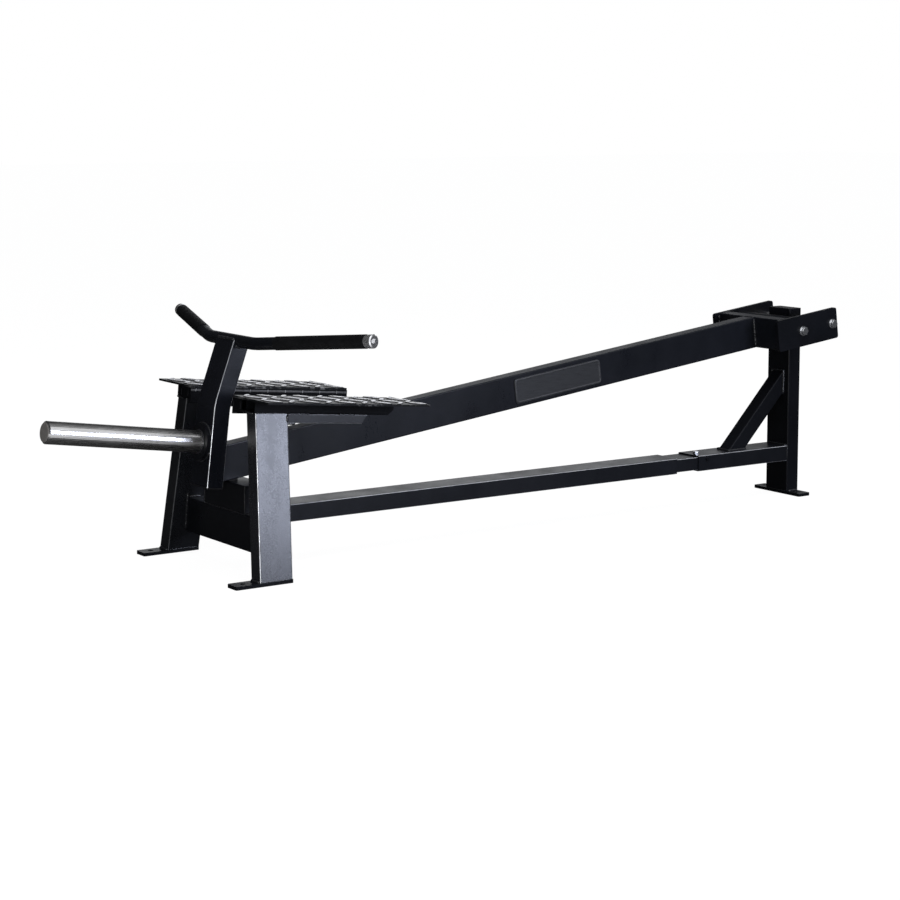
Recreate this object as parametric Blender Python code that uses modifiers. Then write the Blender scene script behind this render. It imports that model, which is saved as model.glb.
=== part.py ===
# T-bar row machine, real size, metres, +Z up.
# The lever arm swings on a pivot at the top of the rear post and rests on a
# rubber pad on the rest block at the front.  The loading pin points towards -X, the pivot
# post stands at +X, and the machine is symmetric about the XZ plane.
# "l" names the -Y side (the user's left, facing the loading pin), "r" the +Y side.

import bpy
import bmesh
import math
from mathutils import Matrix, Vector

# ----------------------------------------------------------------- dimensions
ORIGIN_X = 0.7034947      # from the front face of the front legs at the floor
GAP = 0.0003            # clearance between touching pieces

TUBE_WIDE = 0.080       # main rectangular tube 80 x 40 x 3
TUBE_THIN = 0.040
WALL = 0.003
CORNER = 0.0025
INNER_CORNER = 0.0008

LEG_X0 = 0.0421         # centre of a front leg at the floor
LEG_Y0 = 0.21465
LEG_LEAN = 0.0673       # rearward run per metre of height
LEG_SPLAY = 0.1585      # inward run per metre of height
FOOT_T = 0.008          # foot plate thickness
FRONT_FOOT_X = (-0.0567, 0.0843)
FRONT_FOOT_Y = (0.1944, 0.2349)
FOOT_HOLE_R = 0.0065
REAR_FOOT_HALF = 0.0863

CROSS_X = (0.0450, 0.0850)      # front cross-member
CROSS_Z = (0.0500, 0.1300)
RAIL_TOP = 0.1300
RAIL_SPLIT = (1.3220, 1.3940)   # the bare length of splice sleeve between the rails
SPLICE_OVERLAP = 0.090
POST_X = (1.6995, 1.7395)       # rear post
POST_TOP = 0.4880
POST_CAP_T = 0.0025
REST_TOP = 0.1935               # rest block under the arm, on the cross-member and the rail
REST_X = (0.0450, 0.1050)
REST_HALF = 0.0945
REST_END_T = 0.0030
PAD_X = (0.0495, 0.0700)        # rubber pad, its top cut to the arm's underside
PAD_W = 0.0360
BRACE_W = 0.040                 # diagonal brace 40 x 40
BRACE_D = 0.040
BRACE_A = (1.5209, 0.1389)      # a point on its upper face
BRACE_SLOPE = math.radians(46.35)

DECK_X = (0.0153, 0.4282)       # foot plates of the standing deck
DECK_Y = (0.0984, 0.2514)
DECK_Z = (0.3974, 0.3606)       # top surface, front and rear
DECK_T = 0.0045
BEARER_H = 0.0260               # tube under the deck plate, over the leg
BRACKET_H = 0.0200              # short tube behind the leg, under the bearer
EDGE_T = 0.0050                 # flat bar along the inner edge of the deck
EDGE_H = 0.0350
EDGE_SET = 0.0010               # its front end, behind the deck's front edge

ARM_X0 = 0.2000                 # the arm's centre line passes this point
ARM_Z0 = 0.25540
ARM_SLOPE = math.atan(0.1272)
PIVOT_X = 1.6662
STOP_X = 1.7695
YOKE_FRONT = 1.5824             # front end of the yoke plates, on the arm's line
YOKE_LEN = 0.2065
YOKE_Y = (0.1150, 0.1250)
YOKE_H = 0.080
YOKE_CROSS_X = 1.5970           # front face of the yoke's cross tube
YOKE_CROSS_T = 0.030

HOUSING_R = 0.0330              # bearing housing
HOUSING_BORE = 0.0260
BEARING_W = 0.0150
AXLE_R = 0.0125
STOP_R = 0.0125                 # spacer on the stop bolt
BOLT_R = 0.0080

HP_LEAN = math.atan(0.1192)     # lower run of the handle post
HP_REF = (-0.0058, 0.3000)      # a point on its front face
HP_TOP_LEAN = math.atan(0.3602)
HP_BEND_Z = 0.3714              # where the two front face lines meet
HP_BEND_X = 0.0027
HP_BOTTOM = 0.1860
HP_TOP = 0.5020

BAR_R = 0.0140                  # handlebar 28 x 2.5
BAR_WALL = 0.0025
BAR_C = (0.0690, 0.5050)
BAR_BEND_Y = 0.100
BAR_TIP = (0.1617, 0.4090, 0.5320)
GRIP_R = 0.0152
GRIP_LEN = 0.256
CAP_LEN = 0.0210               # metal end cap beyond the bar's end

SLEEVE_TILT = 0.1400            # loading pin, rising towards its tip
SLEEVE_Z = 0.2868               # its axis at the reference point
SLEEVE_X = -0.0250
SLEEVE_R = 0.0248
SLEEVE_LEN = 0.3590             # from the reference point to the tip
SLEEVE_WALL = 0.004
COLLAR_R = 0.0410
COLLAR_T = 0.0100

# ------------------------------------------------------------------- clean up
for old in list(bpy.data.objects):
    bpy.data.objects.remove(old, do_unlink=True)

scene = bpy.context.scene
parts = bpy.data.collections.new("t_bar_row_machine")
cutters = bpy.data.collections.new("cutters")
scene.collection.children.link(parts)
scene.collection.children.link(cutters)


# ------------------------------------------------------------------ materials
def material(name, colour, rough, metal):
    m = bpy.data.materials.new(name)
    m.use_nodes = True
    b = m.node_tree.nodes["Principled BSDF"]
    b.inputs["Base Color"].default_value = (*colour, 1.0)
    b.inputs["Roughness"].default_value = rough
    b.inputs["Metallic"].default_value = metal
    return m


BLACK = (0.020, 0.021, 0.024)
COATS = {
    "coat": (BLACK, 0.38, 0.0),
    "deck": ((0.045, 0.046, 0.050), 0.30, 0.4),
    "steel": ((0.72, 0.72, 0.73), 0.25, 1.0),
    "chrome": ((0.80, 0.80, 0.81), 0.08, 1.0),
    "zinc": ((0.66, 0.66, 0.68), 0.32, 1.0),
    "rubber": ((0.030, 0.030, 0.032), 0.75, 0.0),
    "plastic": ((0.018, 0.018, 0.020), 0.50, 0.0),
}


def dress(obj, coat):
    c, r, m = COATS[coat]
    obj.data.materials.clear()
    obj.data.materials.append(material("m_" + obj.name, c, r, m))


# -------------------------------------------------------------------- helpers
def at(x, y, z):
    return Vector((x - ORIGIN_X, y, z))


def frame(origin, along, side):
    """Matrix whose local Z runs along, and local X close to side."""
    z = Vector(along).normalized()
    x = Vector(side)
    x = (x - z * x.dot(z)).normalized()
    y = z.cross(x)
    m = Matrix((x, y, z)).transposed().to_4x4()
    m.translation = origin
    return m


def round_rect(w, h, r, n=4):
    pts = []
    for cx, cy, a0 in ((w / 2 - r, h / 2 - r, 0), (-w / 2 + r, h / 2 - r, 90),
                       (-w / 2 + r, -h / 2 + r, 180), (w / 2 - r, -h / 2 + r, 270)):
        for i in range(n + 1):
            a = math.radians(a0 + 90 * i / n)
            pts.append((cx + r * math.cos(a), cy + r * math.sin(a)))
    return pts


def circle(r, n=32, cx=0.0, cy=0.0):
    return [(cx + r * math.cos(2 * math.pi * i / n), cy + r * math.sin(2 * math.pi * i / n))
            for i in range(n)]


def evaluated_mesh(obj, name):
    deps = bpy.context.evaluated_depsgraph_get()
    deps.update()
    me = bpy.data.meshes.new_from_object(obj.evaluated_get(deps))
    me.name = name
    return me


def as_mesh(obj, name, merge=1e-6):
    """A curve object turned into a welded mesh object."""
    me = evaluated_mesh(obj, name)
    bm = bmesh.new()
    bm.from_mesh(me)
    bmesh.ops.remove_doubles(bm, verts=bm.verts, dist=merge)
    bmesh.ops.recalc_face_normals(bm, faces=bm.faces)
    bm.to_mesh(me)
    bm.free()
    new = bpy.data.objects.new(name, me)
    new.matrix_world = obj.matrix_world.copy()
    curve = obj.data
    bpy.data.objects.remove(obj, do_unlink=True)
    bpy.data.curves.remove(curve)
    parts.objects.link(new)
    return new


def extrusion(name, loops, length, matrix):
    """A flat outline with its holes, extruded along local Z, centred."""
    cu = bpy.data.curves.new(name, "CURVE")
    cu.dimensions = "2D"
    cu.fill_mode = "BOTH"
    cu.extrude = length / 2
    for loop in loops:
        sp = cu.splines.new("POLY")
        sp.points.add(len(loop) - 1)
        for p, (x, y) in zip(sp.points, loop):
            p.co = (x, y, 0.0, 1.0)
        sp.use_cyclic_u = True
    ob = bpy.data.objects.new(name + "_outline", cu)
    scene.collection.objects.link(ob)
    ob.matrix_world = matrix
    bpy.context.view_layer.update()
    return as_mesh(ob, name)


def smooth(obj, angle=35.0):
    obj.data.shade_smooth()
    obj.data.set_sharp_from_angle(angle=math.radians(angle))


def mitre(obj, end, point, normal):
    """Slide one end of an extrusion along its axis onto a plane."""
    m = obj.matrix_world
    inv = m.inverted()
    p = inv @ Vector(point)
    n = (inv.to_3x3() @ Vector(normal)).normalized()
    zs = [v.co.z for v in obj.data.vertices]
    mark = max(zs) if end > 0 else min(zs)
    for v in obj.data.vertices:
        if abs(v.co.z - mark) < 1e-5:
            v.co.z = p.z - ((v.co.x - p.x) * n.x + (v.co.y - p.y) * n.y) / n.z


def tube(name, a, b, wide, thin, side, coat="coat", wall=WALL, corner=CORNER):
    """Rectangular tube from a to b; local X, its wide side, close to side."""
    a, b = Vector(a), Vector(b)
    loops = [round_rect(wide, thin, corner)]
    if wall:
        loops.append(round_rect(wide - 2 * wall, thin - 2 * wall, max(corner - wall, INNER_CORNER), 2))
    ob = extrusion(name, loops, (b - a).length, frame((a + b) / 2, b - a, side))
    smooth(ob)
    dress(ob, coat)
    return ob


def turned(name, profile, matrix, coat, steps=32):
    """A profile of (radius, height), top to bottom on the outside, turned about local Z."""
    me = bpy.data.meshes.new(name)
    bm = bmesh.new()
    vs = [bm.verts.new((r, 0.0, z)) for r, z in profile]
    closed = profile[0][0] > 1e-9 and profile[-1][0] > 1e-9
    for p, q in zip(vs, vs[1:] + (vs[:1] if closed else [])):
        bm.edges.new((p, q))
    bm.to_mesh(me)
    bm.free()
    ob = bpy.data.objects.new(name, me)
    parts.objects.link(ob)
    ob.matrix_world = matrix
    sc = ob.modifiers.new("turn", "SCREW")
    sc.axis = "Z"
    sc.angle = 2 * math.pi
    sc.steps = steps
    sc.render_steps = steps
    sc.use_merge_vertices = True
    sc.merge_threshold = 0.00001
    sc.use_smooth_shade = True
    bpy.context.view_layer.update()
    flat = evaluated_mesh(ob, name)
    ob.modifiers.clear()
    old = ob.data
    ob.data = flat
    bpy.data.meshes.remove(old)
    bm = bmesh.new()
    bm.from_mesh(flat)
    bmesh.ops.remove_doubles(bm, verts=bm.verts, dist=1e-6)
    bmesh.ops.recalc_face_normals(bm, faces=bm.faces)
    bm.to_mesh(flat)
    bm.free()
    smooth(ob, 30)
    dress(ob, coat)
    return ob


def cylinder_cutter(name, origin, axis, radius, length, n=24):
    me = bpy.data.meshes.new(name)
    bm = bmesh.new()
    bmesh.ops.create_cone(bm, cap_ends=True, segments=n, radius1=radius, radius2=radius, depth=length)
    bm.to_mesh(me)
    bm.free()
    ob = bpy.data.objects.new(name, me)
    cutters.objects.link(ob)
    side = (1, 0, 0) if abs(Vector(axis).normalized().x) < 0.9 else (0, 1, 0)
    ob.matrix_world = frame(origin, axis, side)
    ob.hide_render = True
    ob.display_type = "WIRE"
    return ob


def boolean(obj, cutter, operation="DIFFERENCE"):
    b = obj.modifiers.new(operation.lower() + "_" + cutter.name, "BOOLEAN")
    b.operation = operation
    b.solver = "EXACT"
    b.object = cutter
    return b


def hex_screw(name, seat, out, across, head_h, shank_r, shank_len, coat, washer_r=0.0, washer_t=0.0,
              turn=0.0):
    """Hex head (on a washer face, if any) with a plain shank; out points away from the seat."""
    side = (1, 0, 0) if abs(Vector(out).normalized().x) < 0.9 else (0, 1, 0)
    m = frame(seat, out, side)
    prof = [(0.0, washer_t + head_h * 0.5), (across * 0.48, washer_t + head_h * 0.5)]
    if washer_r:
        prof += [(across * 0.48, washer_t), (washer_r, washer_t), (washer_r, 0.0)]
    else:
        prof += [(across * 0.48, 0.0)]
    prof += [(shank_r, 0.0), (shank_r, -shank_len), (0.0, -shank_len)]
    ob = turned(name, prof, m, coat, steps=24)
    me = bpy.data.meshes.new(name + "_hex")
    bm = bmesh.new()
    r = across / 2 / math.cos(math.pi / 6)
    bmesh.ops.create_cone(bm, cap_ends=True, segments=6, radius1=r, radius2=r, depth=head_h - 0.0004)
    bmesh.ops.bevel(bm, geom=[e for e in bm.edges if e.verts[0].co.z > 0 and e.verts[1].co.z > 0],
                    offset=head_h * 0.12, segments=1, affect="EDGES", profile=0.5)
    bm.to_mesh(me)
    bm.free()
    hx = bpy.data.objects.new(name + "_hex", me)
    cutters.objects.link(hx)
    hx.matrix_world = m @ Matrix.Translation((0, 0, washer_t + 0.0004 + (head_h - 0.0004) / 2)) @ Matrix.Rotation(turn, 4, "Z")
    hx.hide_render = True
    hx.display_type = "WIRE"
    boolean(ob, hx, "UNION")
    return ob


SIDES = (("l", -1.0), ("r", 1.0))

# ================================================================= fixed frame
deck_slope = math.atan2(DECK_Z[0] - DECK_Z[1], DECK_X[1] - DECK_X[0])
deck_dir = Vector((math.cos(deck_slope), 0, -math.sin(deck_slope)))
deck_up = Vector((math.sin(deck_slope), 0, math.cos(deck_slope)))


def deck_point(x, y, below=0.0):
    """A point under the deck's top surface, measured square to it."""
    z = DECK_Z[0] - math.tan(deck_slope) * (x - DECK_X[0])
    return at(x, y, z) - deck_up * below


def leg_centre(z, s):
    return at(LEG_X0 + LEG_LEAN * z, s * (LEG_Y0 - LEG_SPLAY * z), z)


splay = math.atan(LEG_SPLAY)
bearer_low = DECK_T + GAP + BEARER_H          # depth of the bearer's underside
for tag, s in SIDES:
    # foot plate with its bolt hole near the toe
    cx = (FRONT_FOOT_X[0] + FRONT_FOOT_X[1]) / 2
    cy = (FRONT_FOOT_Y[0] + FRONT_FOOT_Y[1]) / 2
    w = FRONT_FOOT_X[1] - FRONT_FOOT_X[0]
    h = FRONT_FOOT_Y[1] - FRONT_FOOT_Y[0]
    foot = extrusion("front_foot_plate_" + tag,
                     [round_rect(w, h, 0.004, 3), circle(FOOT_HOLE_R, 24, -w / 2 + 0.026, 0.0)],
                     FOOT_T, Matrix.Translation(at(cx, s * cy, FOOT_T / 2)))
    smooth(foot)
    dress(foot, "coat")

    # splayed, rearward leaning leg, cut level at the foot and along the deck at the top
    a, b = leg_centre(0.0, s), leg_centre(0.36, s)
    side = Vector((1, 0, 0))
    leg = tube("front_leg_" + tag, a, b, TUBE_WIDE, TUBE_THIN, side)
    mitre(leg, -1, at(0, 0, FOOT_T + GAP), (0, 0, 1))
    mitre(leg, 1, deck_point(DECK_X[0], 0, bearer_low + GAP), deck_up)

    # bearer: tube on top of the leg, upright sides, slanted rear end
    y_mid = s * (LEG_Y0 - LEG_SPLAY * 0.362)
    depth = DECK_T + GAP + BEARER_H / 2
    a, b = deck_point(0.0275, y_mid, depth), deck_point(0.370, y_mid, depth)
    bearer = tube("deck_bearer_" + tag, a, b, TUBE_THIN, BEARER_H, (0, 1, 0), corner=0.0018, wall=0.0025)
    mitre(bearer, 1, deck_point(0.3705, 0, depth), (math.cos(0.66), 0, -math.sin(0.66)))

    # bracket tube behind the leg, in line with the leg's outer face
    top = bearer_low + GAP
    mid = top + BRACKET_H / 2
    zref = 0.345
    yb = s * (LEG_Y0 - LEG_SPLAY * zref)
    a, b = deck_point(0.108, yb, mid), deck_point(0.306, yb, mid)
    lie = Vector((0, math.cos(splay), s * -math.sin(splay)))
    bracket = tube("deck_bracket_" + tag, a, b, TUBE_THIN, BRACKET_H, (0, 1, 0), corner=0.0018, wall=0.0025)
    back = Vector((1, 0, -LEG_LEAN)).normalized()
    mitre(bracket, -1, leg_centre(0.345, s) + Vector((TUBE_WIDE / 2 / math.cos(math.atan(LEG_LEAN)) + GAP, 0, 0)), back)
    mitre(bracket, 1, deck_point(0.3035, 0, mid), (math.cos(0.66), 0, -math.sin(0.66)))

    # cross support from the bearer to the inner edge, under the deck's front
    y0 = s * (abs(y_mid) - TUBE_THIN / 2 - GAP)
    y1 = s * (DECK_Y[0] + EDGE_T + GAP)
    a, b = deck_point(0.0358, y0, depth), deck_point(0.0358, y1, depth)
    tube("deck_cross_support_" + tag, a, b, 0.040, BEARER_H, deck_dir, corner=0.0018, wall=0.0025)

    # flat bar down the inner edge of the deck
    length = (DECK_X[1] - DECK_X[0] - EDGE_SET) / math.cos(deck_slope)
    centre = deck_point((DECK_X[1] + DECK_X[0] + EDGE_SET) / 2, s * (DECK_Y[0] + EDGE_T / 2), DECK_T + GAP + EDGE_H / 2)
    bar = extrusion("deck_edge_bar_" + tag,
                    [[(-length / 2, -EDGE_H / 2), (length / 2 - 0.014, -EDGE_H / 2),
                      (length / 2, -EDGE_H / 2 + 0.012), (length / 2, EDGE_H / 2),
                      (-length / 2, EDGE_H / 2)]],
                    EDGE_T, Matrix((
                        (deck_dir.x, deck_up.x, 0, centre.x),
                        (0, 0, -1, centre.y),
                        (deck_dir.z, deck_up.z, 0, centre.z),
                        (0, 0, 0, 1))))
    smooth(bar)
    dress(bar, "coat")

    # deck plate
    w = (DECK_X[1] - DECK_X[0]) / math.cos(deck_slope)
    h = DECK_Y[1] - DECK_Y[0]
    centre = deck_point((DECK_X[0] + DECK_X[1]) / 2, s * (DECK_Y[0] + DECK_Y[1]) / 2, DECK_T / 2)
    plate = extrusion("deck_plate_" + tag, [round_rect(w, h, 0.003, 2)], DECK_T,
                      frame(centre, deck_up, deck_dir))
    smooth(plate)
    dress(plate, "deck")

# front cross-member between the legs, its ends cut to the legs' inner faces
zc = (CROSS_Z[0] + CROSS_Z[1]) / 2
xc = (CROSS_X[0] + CROSS_X[1]) / 2
cross = tube("front_cross_member", at(xc, -0.18, zc), at(xc, 0.18, zc),
             TUBE_WIDE, TUBE_THIN, (0, 0, 1))
for end, s in ((-1, -1.0), (1, 1.0)):
    n = Vector((0, math.cos(splay), s * math.sin(splay)))
    inner = leg_centre(zc, s) - s * n * (TUBE_THIN / 2 + GAP)
    mitre(cross, end, inner, n)

# base rail in two lengths, joined by a sleeve that shows between them
rail_z = RAIL_TOP - TUBE_THIN / 2
rail_f = tube("base_rail_front", at(CROSS_X[1] + GAP, 0, rail_z), at(RAIL_SPLIT[0], 0, rail_z),
              TUBE_WIDE, TUBE_THIN, (0, 1, 0))
rail_r = tube("base_rail_rear", at(RAIL_SPLIT[1], 0, rail_z), at(POST_X[0] - GAP, 0, rail_z),
              TUBE_WIDE, TUBE_THIN, (0, 1, 0))
in_w = TUBE_WIDE - 2 * WALL - 2 * GAP
in_t = TUBE_THIN - 2 * WALL - 2 * GAP
splice = tube("rail_splice_sleeve", at(RAIL_SPLIT[0] - SPLICE_OVERLAP, 0, rail_z),
              at(RAIL_SPLIT[1] + SPLICE_OVERLAP, 0, rail_z), in_w, in_t, (0, 1, 0), corner=0.0022, wall=0.0025)

# splice screws: one down through the top, one in from the left side
screw_r = 0.0040
top_x, side_x = RAIL_SPLIT[1] + 0.0235, RAIL_SPLIT[1] + 0.0285
side_z = rail_z + 0.0100
hole_t = cylinder_cutter("hole_splice_top", at(top_x, 0, RAIL_TOP), (0, 0, 1), screw_r + GAP, 0.030, 16)
hole_s = cylinder_cutter("hole_splice_side", at(side_x, -TUBE_WIDE / 2, side_z), (0, 1, 0),
                         screw_r + GAP, 0.030, 16)
for ob in (rail_r, splice):
    boolean(ob, hole_t)
    boolean(ob, hole_s)
hex_screw("rail_splice_screw_top", at(top_x, 0, RAIL_TOP + GAP), (0, 0, 1), 0.013, 0.0050, screw_r, 0.010,
          "zinc", turn=0.3)
hex_screw("rail_splice_screw_side", at(side_x, -TUBE_WIDE / 2 - GAP, side_z), (0, -1, 0), 0.010, 0.0030,
          screw_r, 0.010, "coat", turn=0.2)

# rest block: a tube across the top of the cross-member and the rail's end, closed at both ends,
# with a rubber pad under the arm
rest_c = sum(REST_X) / 2
rest_w = REST_X[1] - REST_X[0]
rest_h = REST_TOP - RAIL_TOP - GAP
rest_z = RAIL_TOP + GAP + rest_h / 2
rest_reach = REST_HALF - REST_END_T - GAP
tube("rest_block", at(rest_c, -rest_reach, rest_z), at(rest_c, rest_reach, rest_z), rest_h, rest_w, (0, 0, 1))
for tag, s in SIDES:
    end = extrusion("rest_block_end_" + tag, [round_rect(rest_w, rest_h, CORNER)], REST_END_T,
                    frame(at(rest_c, s * (REST_HALF - REST_END_T / 2), rest_z), (0, s, 0), (1, 0, 0)))
    smooth(end)
    dress(end, "coat")
pad_c = sum(PAD_X) / 2
pad_z = REST_TOP + GAP
under = ARM_Z0 + math.tan(ARM_SLOPE) * (pad_c - ARM_X0) - TUBE_WIDE / 2 / math.cos(ARM_SLOPE) - GAP
pad = extrusion("rest_pad", [round_rect(PAD_X[1] - PAD_X[0], PAD_W, 0.0015, 2)], under - pad_z,
                Matrix.Translation(at(pad_c, 0, (under + pad_z) / 2)))
mitre(pad, 1, at(pad_c, 0, under), (-math.sin(ARM_SLOPE), 0, math.cos(ARM_SLOPE)))
smooth(pad)
dress(pad, "rubber")

# rear foot plate, post, cap
post_c = sum(POST_X) / 2
rear_foot = extrusion("rear_foot_plate",
                      [round_rect(0.040, 2 * REAR_FOOT_HALF, 0.004, 3),
                       circle(FOOT_HOLE_R, 24, 0, -0.064), circle(FOOT_HOLE_R, 24, 0, 0.064)],
                      FOOT_T, Matrix.Translation(at(post_c, 0, FOOT_T / 2)))
smooth(rear_foot)
dress(rear_foot, "coat")
tube("rear_post", at(post_c, 0, FOOT_T + GAP), at(post_c, 0, POST_TOP), TUBE_WIDE, TUBE_THIN, (0, 1, 0))
plug_w = TUBE_WIDE - 2 * WALL - 2 * GAP
plug_t = TUBE_THIN - 2 * WALL - 2 * GAP
cap = extrusion("rear_post_cap", [round_rect(TUBE_WIDE, TUBE_THIN, CORNER)], POST_CAP_T,
                frame(at(post_c, 0, POST_TOP + GAP + POST_CAP_T / 2), (0, 0, 1), (0, 1, 0)))
plug = extrusion("cap_plug", [round_rect(plug_w, plug_t, 0.0016, 2)], 0.014,
                 frame(at(post_c, 0, POST_TOP + GAP - 0.005), (0, 0, 1), (0, 1, 0)))
parts.objects.unlink(plug)
cutters.objects.link(plug)
plug.hide_render = True
plug.display_type = "WIRE"
boolean(cap, plug, "UNION")
smooth(cap)
dress(cap, "plastic")

# diagonal brace from the rail up to the post
bdir = Vector((math.cos(BRACE_SLOPE), 0, math.sin(BRACE_SLOPE)))
bup = Vector((-math.sin(BRACE_SLOPE), 0, math.cos(BRACE_SLOPE)))
base = at(BRACE_A[0], 0, BRACE_A[1]) - bup * (BRACE_D / 2)
brace = tube("diagonal_brace", base - bdir * 0.02, base + bdir * 0.22, BRACE_W, BRACE_D, (0, 1, 0))
mitre(brace, -1, at(0, 0, RAIL_TOP + GAP), (0, 0, 1))
mitre(brace, 1, at(POST_X[0] - GAP, 0, 0), (1, 0, 0))

# ------------------------------------------------------------- pivot and yoke
arm_dir = Vector((math.cos(ARM_SLOPE), 0, math.sin(ARM_SLOPE)))
arm_up = Vector((-math.sin(ARM_SLOPE), 0, math.cos(ARM_SLOPE)))


def arm_point(x, y=0.0, up=0.0):
    return at(x, y, ARM_Z0 + math.tan(ARM_SLOPE) * (x - ARM_X0)) + arm_up * up


pivot = arm_point(PIVOT_X)
stop = arm_point(STOP_X)
across_y = frame(pivot, (0, 1, 0), (1, 0, 0))
inner_w = 2 * YOKE_Y[0]

# bearing housing, stepped so that each bearing seats against a shoulder
hl = inner_w / 2 - 0.0025
turned("pivot_housing", [(HOUSING_R, hl), (HOUSING_R, -hl), (HOUSING_BORE, -hl),
                         (HOUSING_BORE, -hl + BEARING_W + 0.0005), (HOUSING_BORE - 0.003, -hl + BEARING_W + 0.0005),
                         (HOUSING_BORE - 0.003, hl - BEARING_W - 0.0005), (HOUSING_BORE, hl - BEARING_W - 0.0005),
                         (HOUSING_BORE, hl)], across_y, "coat", 40)
for tag, s in SIDES:
    c = hl - BEARING_W / 2
    ro, ri = HOUSING_BORE - GAP, AXLE_R + GAP
    hb = BEARING_W / 2
    turned("pivot_bearing_" + tag, [(ro, hb), (ro, -hb), (ri, -hb), (ri, hb)],
           frame(pivot + Vector((0, s * c, 0)), (0, 1, 0), (1, 0, 0)), "steel", 32)

# axle, tapped at both ends
half = YOKE_Y[1] - 0.0010
axle = turned("pivot_axle", [(0, half), (AXLE_R, half), (AXLE_R, -half), (0, -half)], across_y, "steel", 32)
for tag, s in SIDES:
    boolean(axle, cylinder_cutter("tap_" + tag, pivot + Vector((0, s * half, 0)), (0, 1, 0), 0.0063, 0.060, 20))

for tag, s in SIDES:
    yo = YOKE_Y[1]
    yc = s * (YOKE_Y[0] + YOKE_Y[1]) / 2
    mid = arm_point(YOKE_FRONT + YOKE_LEN / 2 * math.cos(ARM_SLOPE), yc)
    d1 = (pivot - mid).dot(arm_dir)
    d2 = (stop - mid).dot(arm_dir)
    yoke = extrusion("yoke_plate_" + tag,
                     [round_rect(YOKE_LEN, YOKE_H, 0.006, 3), circle(AXLE_R + GAP, 32, d1, 0),
                      circle(BOLT_R + GAP, 24, d2, 0)],
                     YOKE_Y[1] - YOKE_Y[0],
                     Matrix(((arm_dir.x, arm_up.x, 0, mid.x), (0, 0, -1, mid.y),
                             (arm_dir.z, arm_up.z, 0, mid.z), (0, 0, 0, 1))))
    smooth(yoke)
    dress(yoke, "coat")
    hex_screw("pivot_bolt_" + tag, pivot + Vector((0, s * (yo + GAP), 0)), (0, s, 0), 0.0185, 0.0080,
              0.0060, 0.024, "zinc", washer_r=0.0124, washer_t=0.0022, turn=0.5 if s < 0 else 0.1)

# spacer tube and its through bolt: the arm's upper stop, behind the post
hs = inner_w / 2 - GAP
at_stop = frame(stop, (0, 1, 0), (1, 0, 0))
turned("stop_spacer", [(STOP_R, hs), (STOP_R, -hs), (BOLT_R + GAP, -hs), (BOLT_R + GAP, hs)], at_stop, "zinc", 32)
reach = 2 * YOKE_Y[1] + 0.0165
hex_screw("stop_bolt", stop + Vector((0, -YOKE_Y[1] - GAP, 0)), (0, -1, 0), 0.0185, 0.0080, BOLT_R, reach,
          "zinc", washer_r=0.0124, washer_t=0.0020, turn=0.35)
nut = turned("stop_nut", [(0.0140, 0.0022), (0.0140, 0.0), (BOLT_R + GAP, 0.0), (BOLT_R + GAP, 0.0140),
                          (0.0118, 0.0140), (0.0118, 0.0022)][::-1],
             frame(stop + Vector((0, YOKE_Y[1] + GAP, 0)), (0, 1, 0), (1, 0, 0)), "zinc", 24)

# cross tube between the yoke plates, square to the arm
cross_mid = arm_point(YOKE_CROSS_X) + arm_dir * (YOKE_CROSS_T / 2)
cross_half = Vector((0, inner_w / 2 - GAP, 0))
tube("yoke_cross_tube", cross_mid - cross_half, cross_mid + cross_half, TUBE_WIDE, YOKE_CROSS_T, arm_up)

# ------------------------------------------------------------------------ arm
# handle post: 80 x 40 tube with one bend
lo_dir = Vector((math.sin(HP_LEAN), 0, math.cos(HP_LEAN)))
hi_dir = Vector((math.sin(HP_TOP_LEAN), 0, math.cos(HP_TOP_LEAN)))
lo_back = Vector((math.cos(HP_LEAN), 0, -math.sin(HP_LEAN)))
hi_back = Vector((math.cos(HP_TOP_LEAN), 0, -math.sin(HP_TOP_LEAN)))
corner_f = at(HP_BEND_X, 0, HP_BEND_Z)
turn_a = HP_TOP_LEAN - HP_LEAN
mean = (lo_dir + hi_dir).normalized()
corner_c = corner_f + (lo_back + hi_back).normalized() * (TUBE_THIN / 2 / math.cos(turn_a / 2))
len_lo = (corner_c.z - HP_BOTTOM) / math.cos(HP_LEAN)
len_hi = (HP_TOP - corner_c.z) / math.cos(HP_TOP_LEAN)
BEND_R = 0.150
cut = BEND_R * math.tan(turn_a / 2)
arc = BEND_R * turn_a
straight_lo, straight_hi = len_lo - cut, len_hi - cut
total = straight_lo + arc + straight_hi
start = corner_c - lo_dir * len_lo
post = extrusion("handle_post",
                 [round_rect(TUBE_WIDE, TUBE_THIN, CORNER),
                  round_rect(TUBE_WIDE - 2 * WALL, TUBE_THIN - 2 * WALL, INNER_CORNER, 2)],
                 total, Matrix.Identity(4))
bm = bmesh.new()
bm.from_mesh(post.data)
BENDS = 6
for i in range(BENDS + 1):
    z = -total / 2 + straight_lo + arc * i / BENDS
    bmesh.ops.bisect_plane(bm, geom=bm.verts[:] + bm.edges[:] + bm.faces[:], plane_co=(0, 0, z), plane_no=(0, 0, 1))
bmesh.ops.remove_doubles(bm, verts=bm.verts, dist=1e-6)
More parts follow.
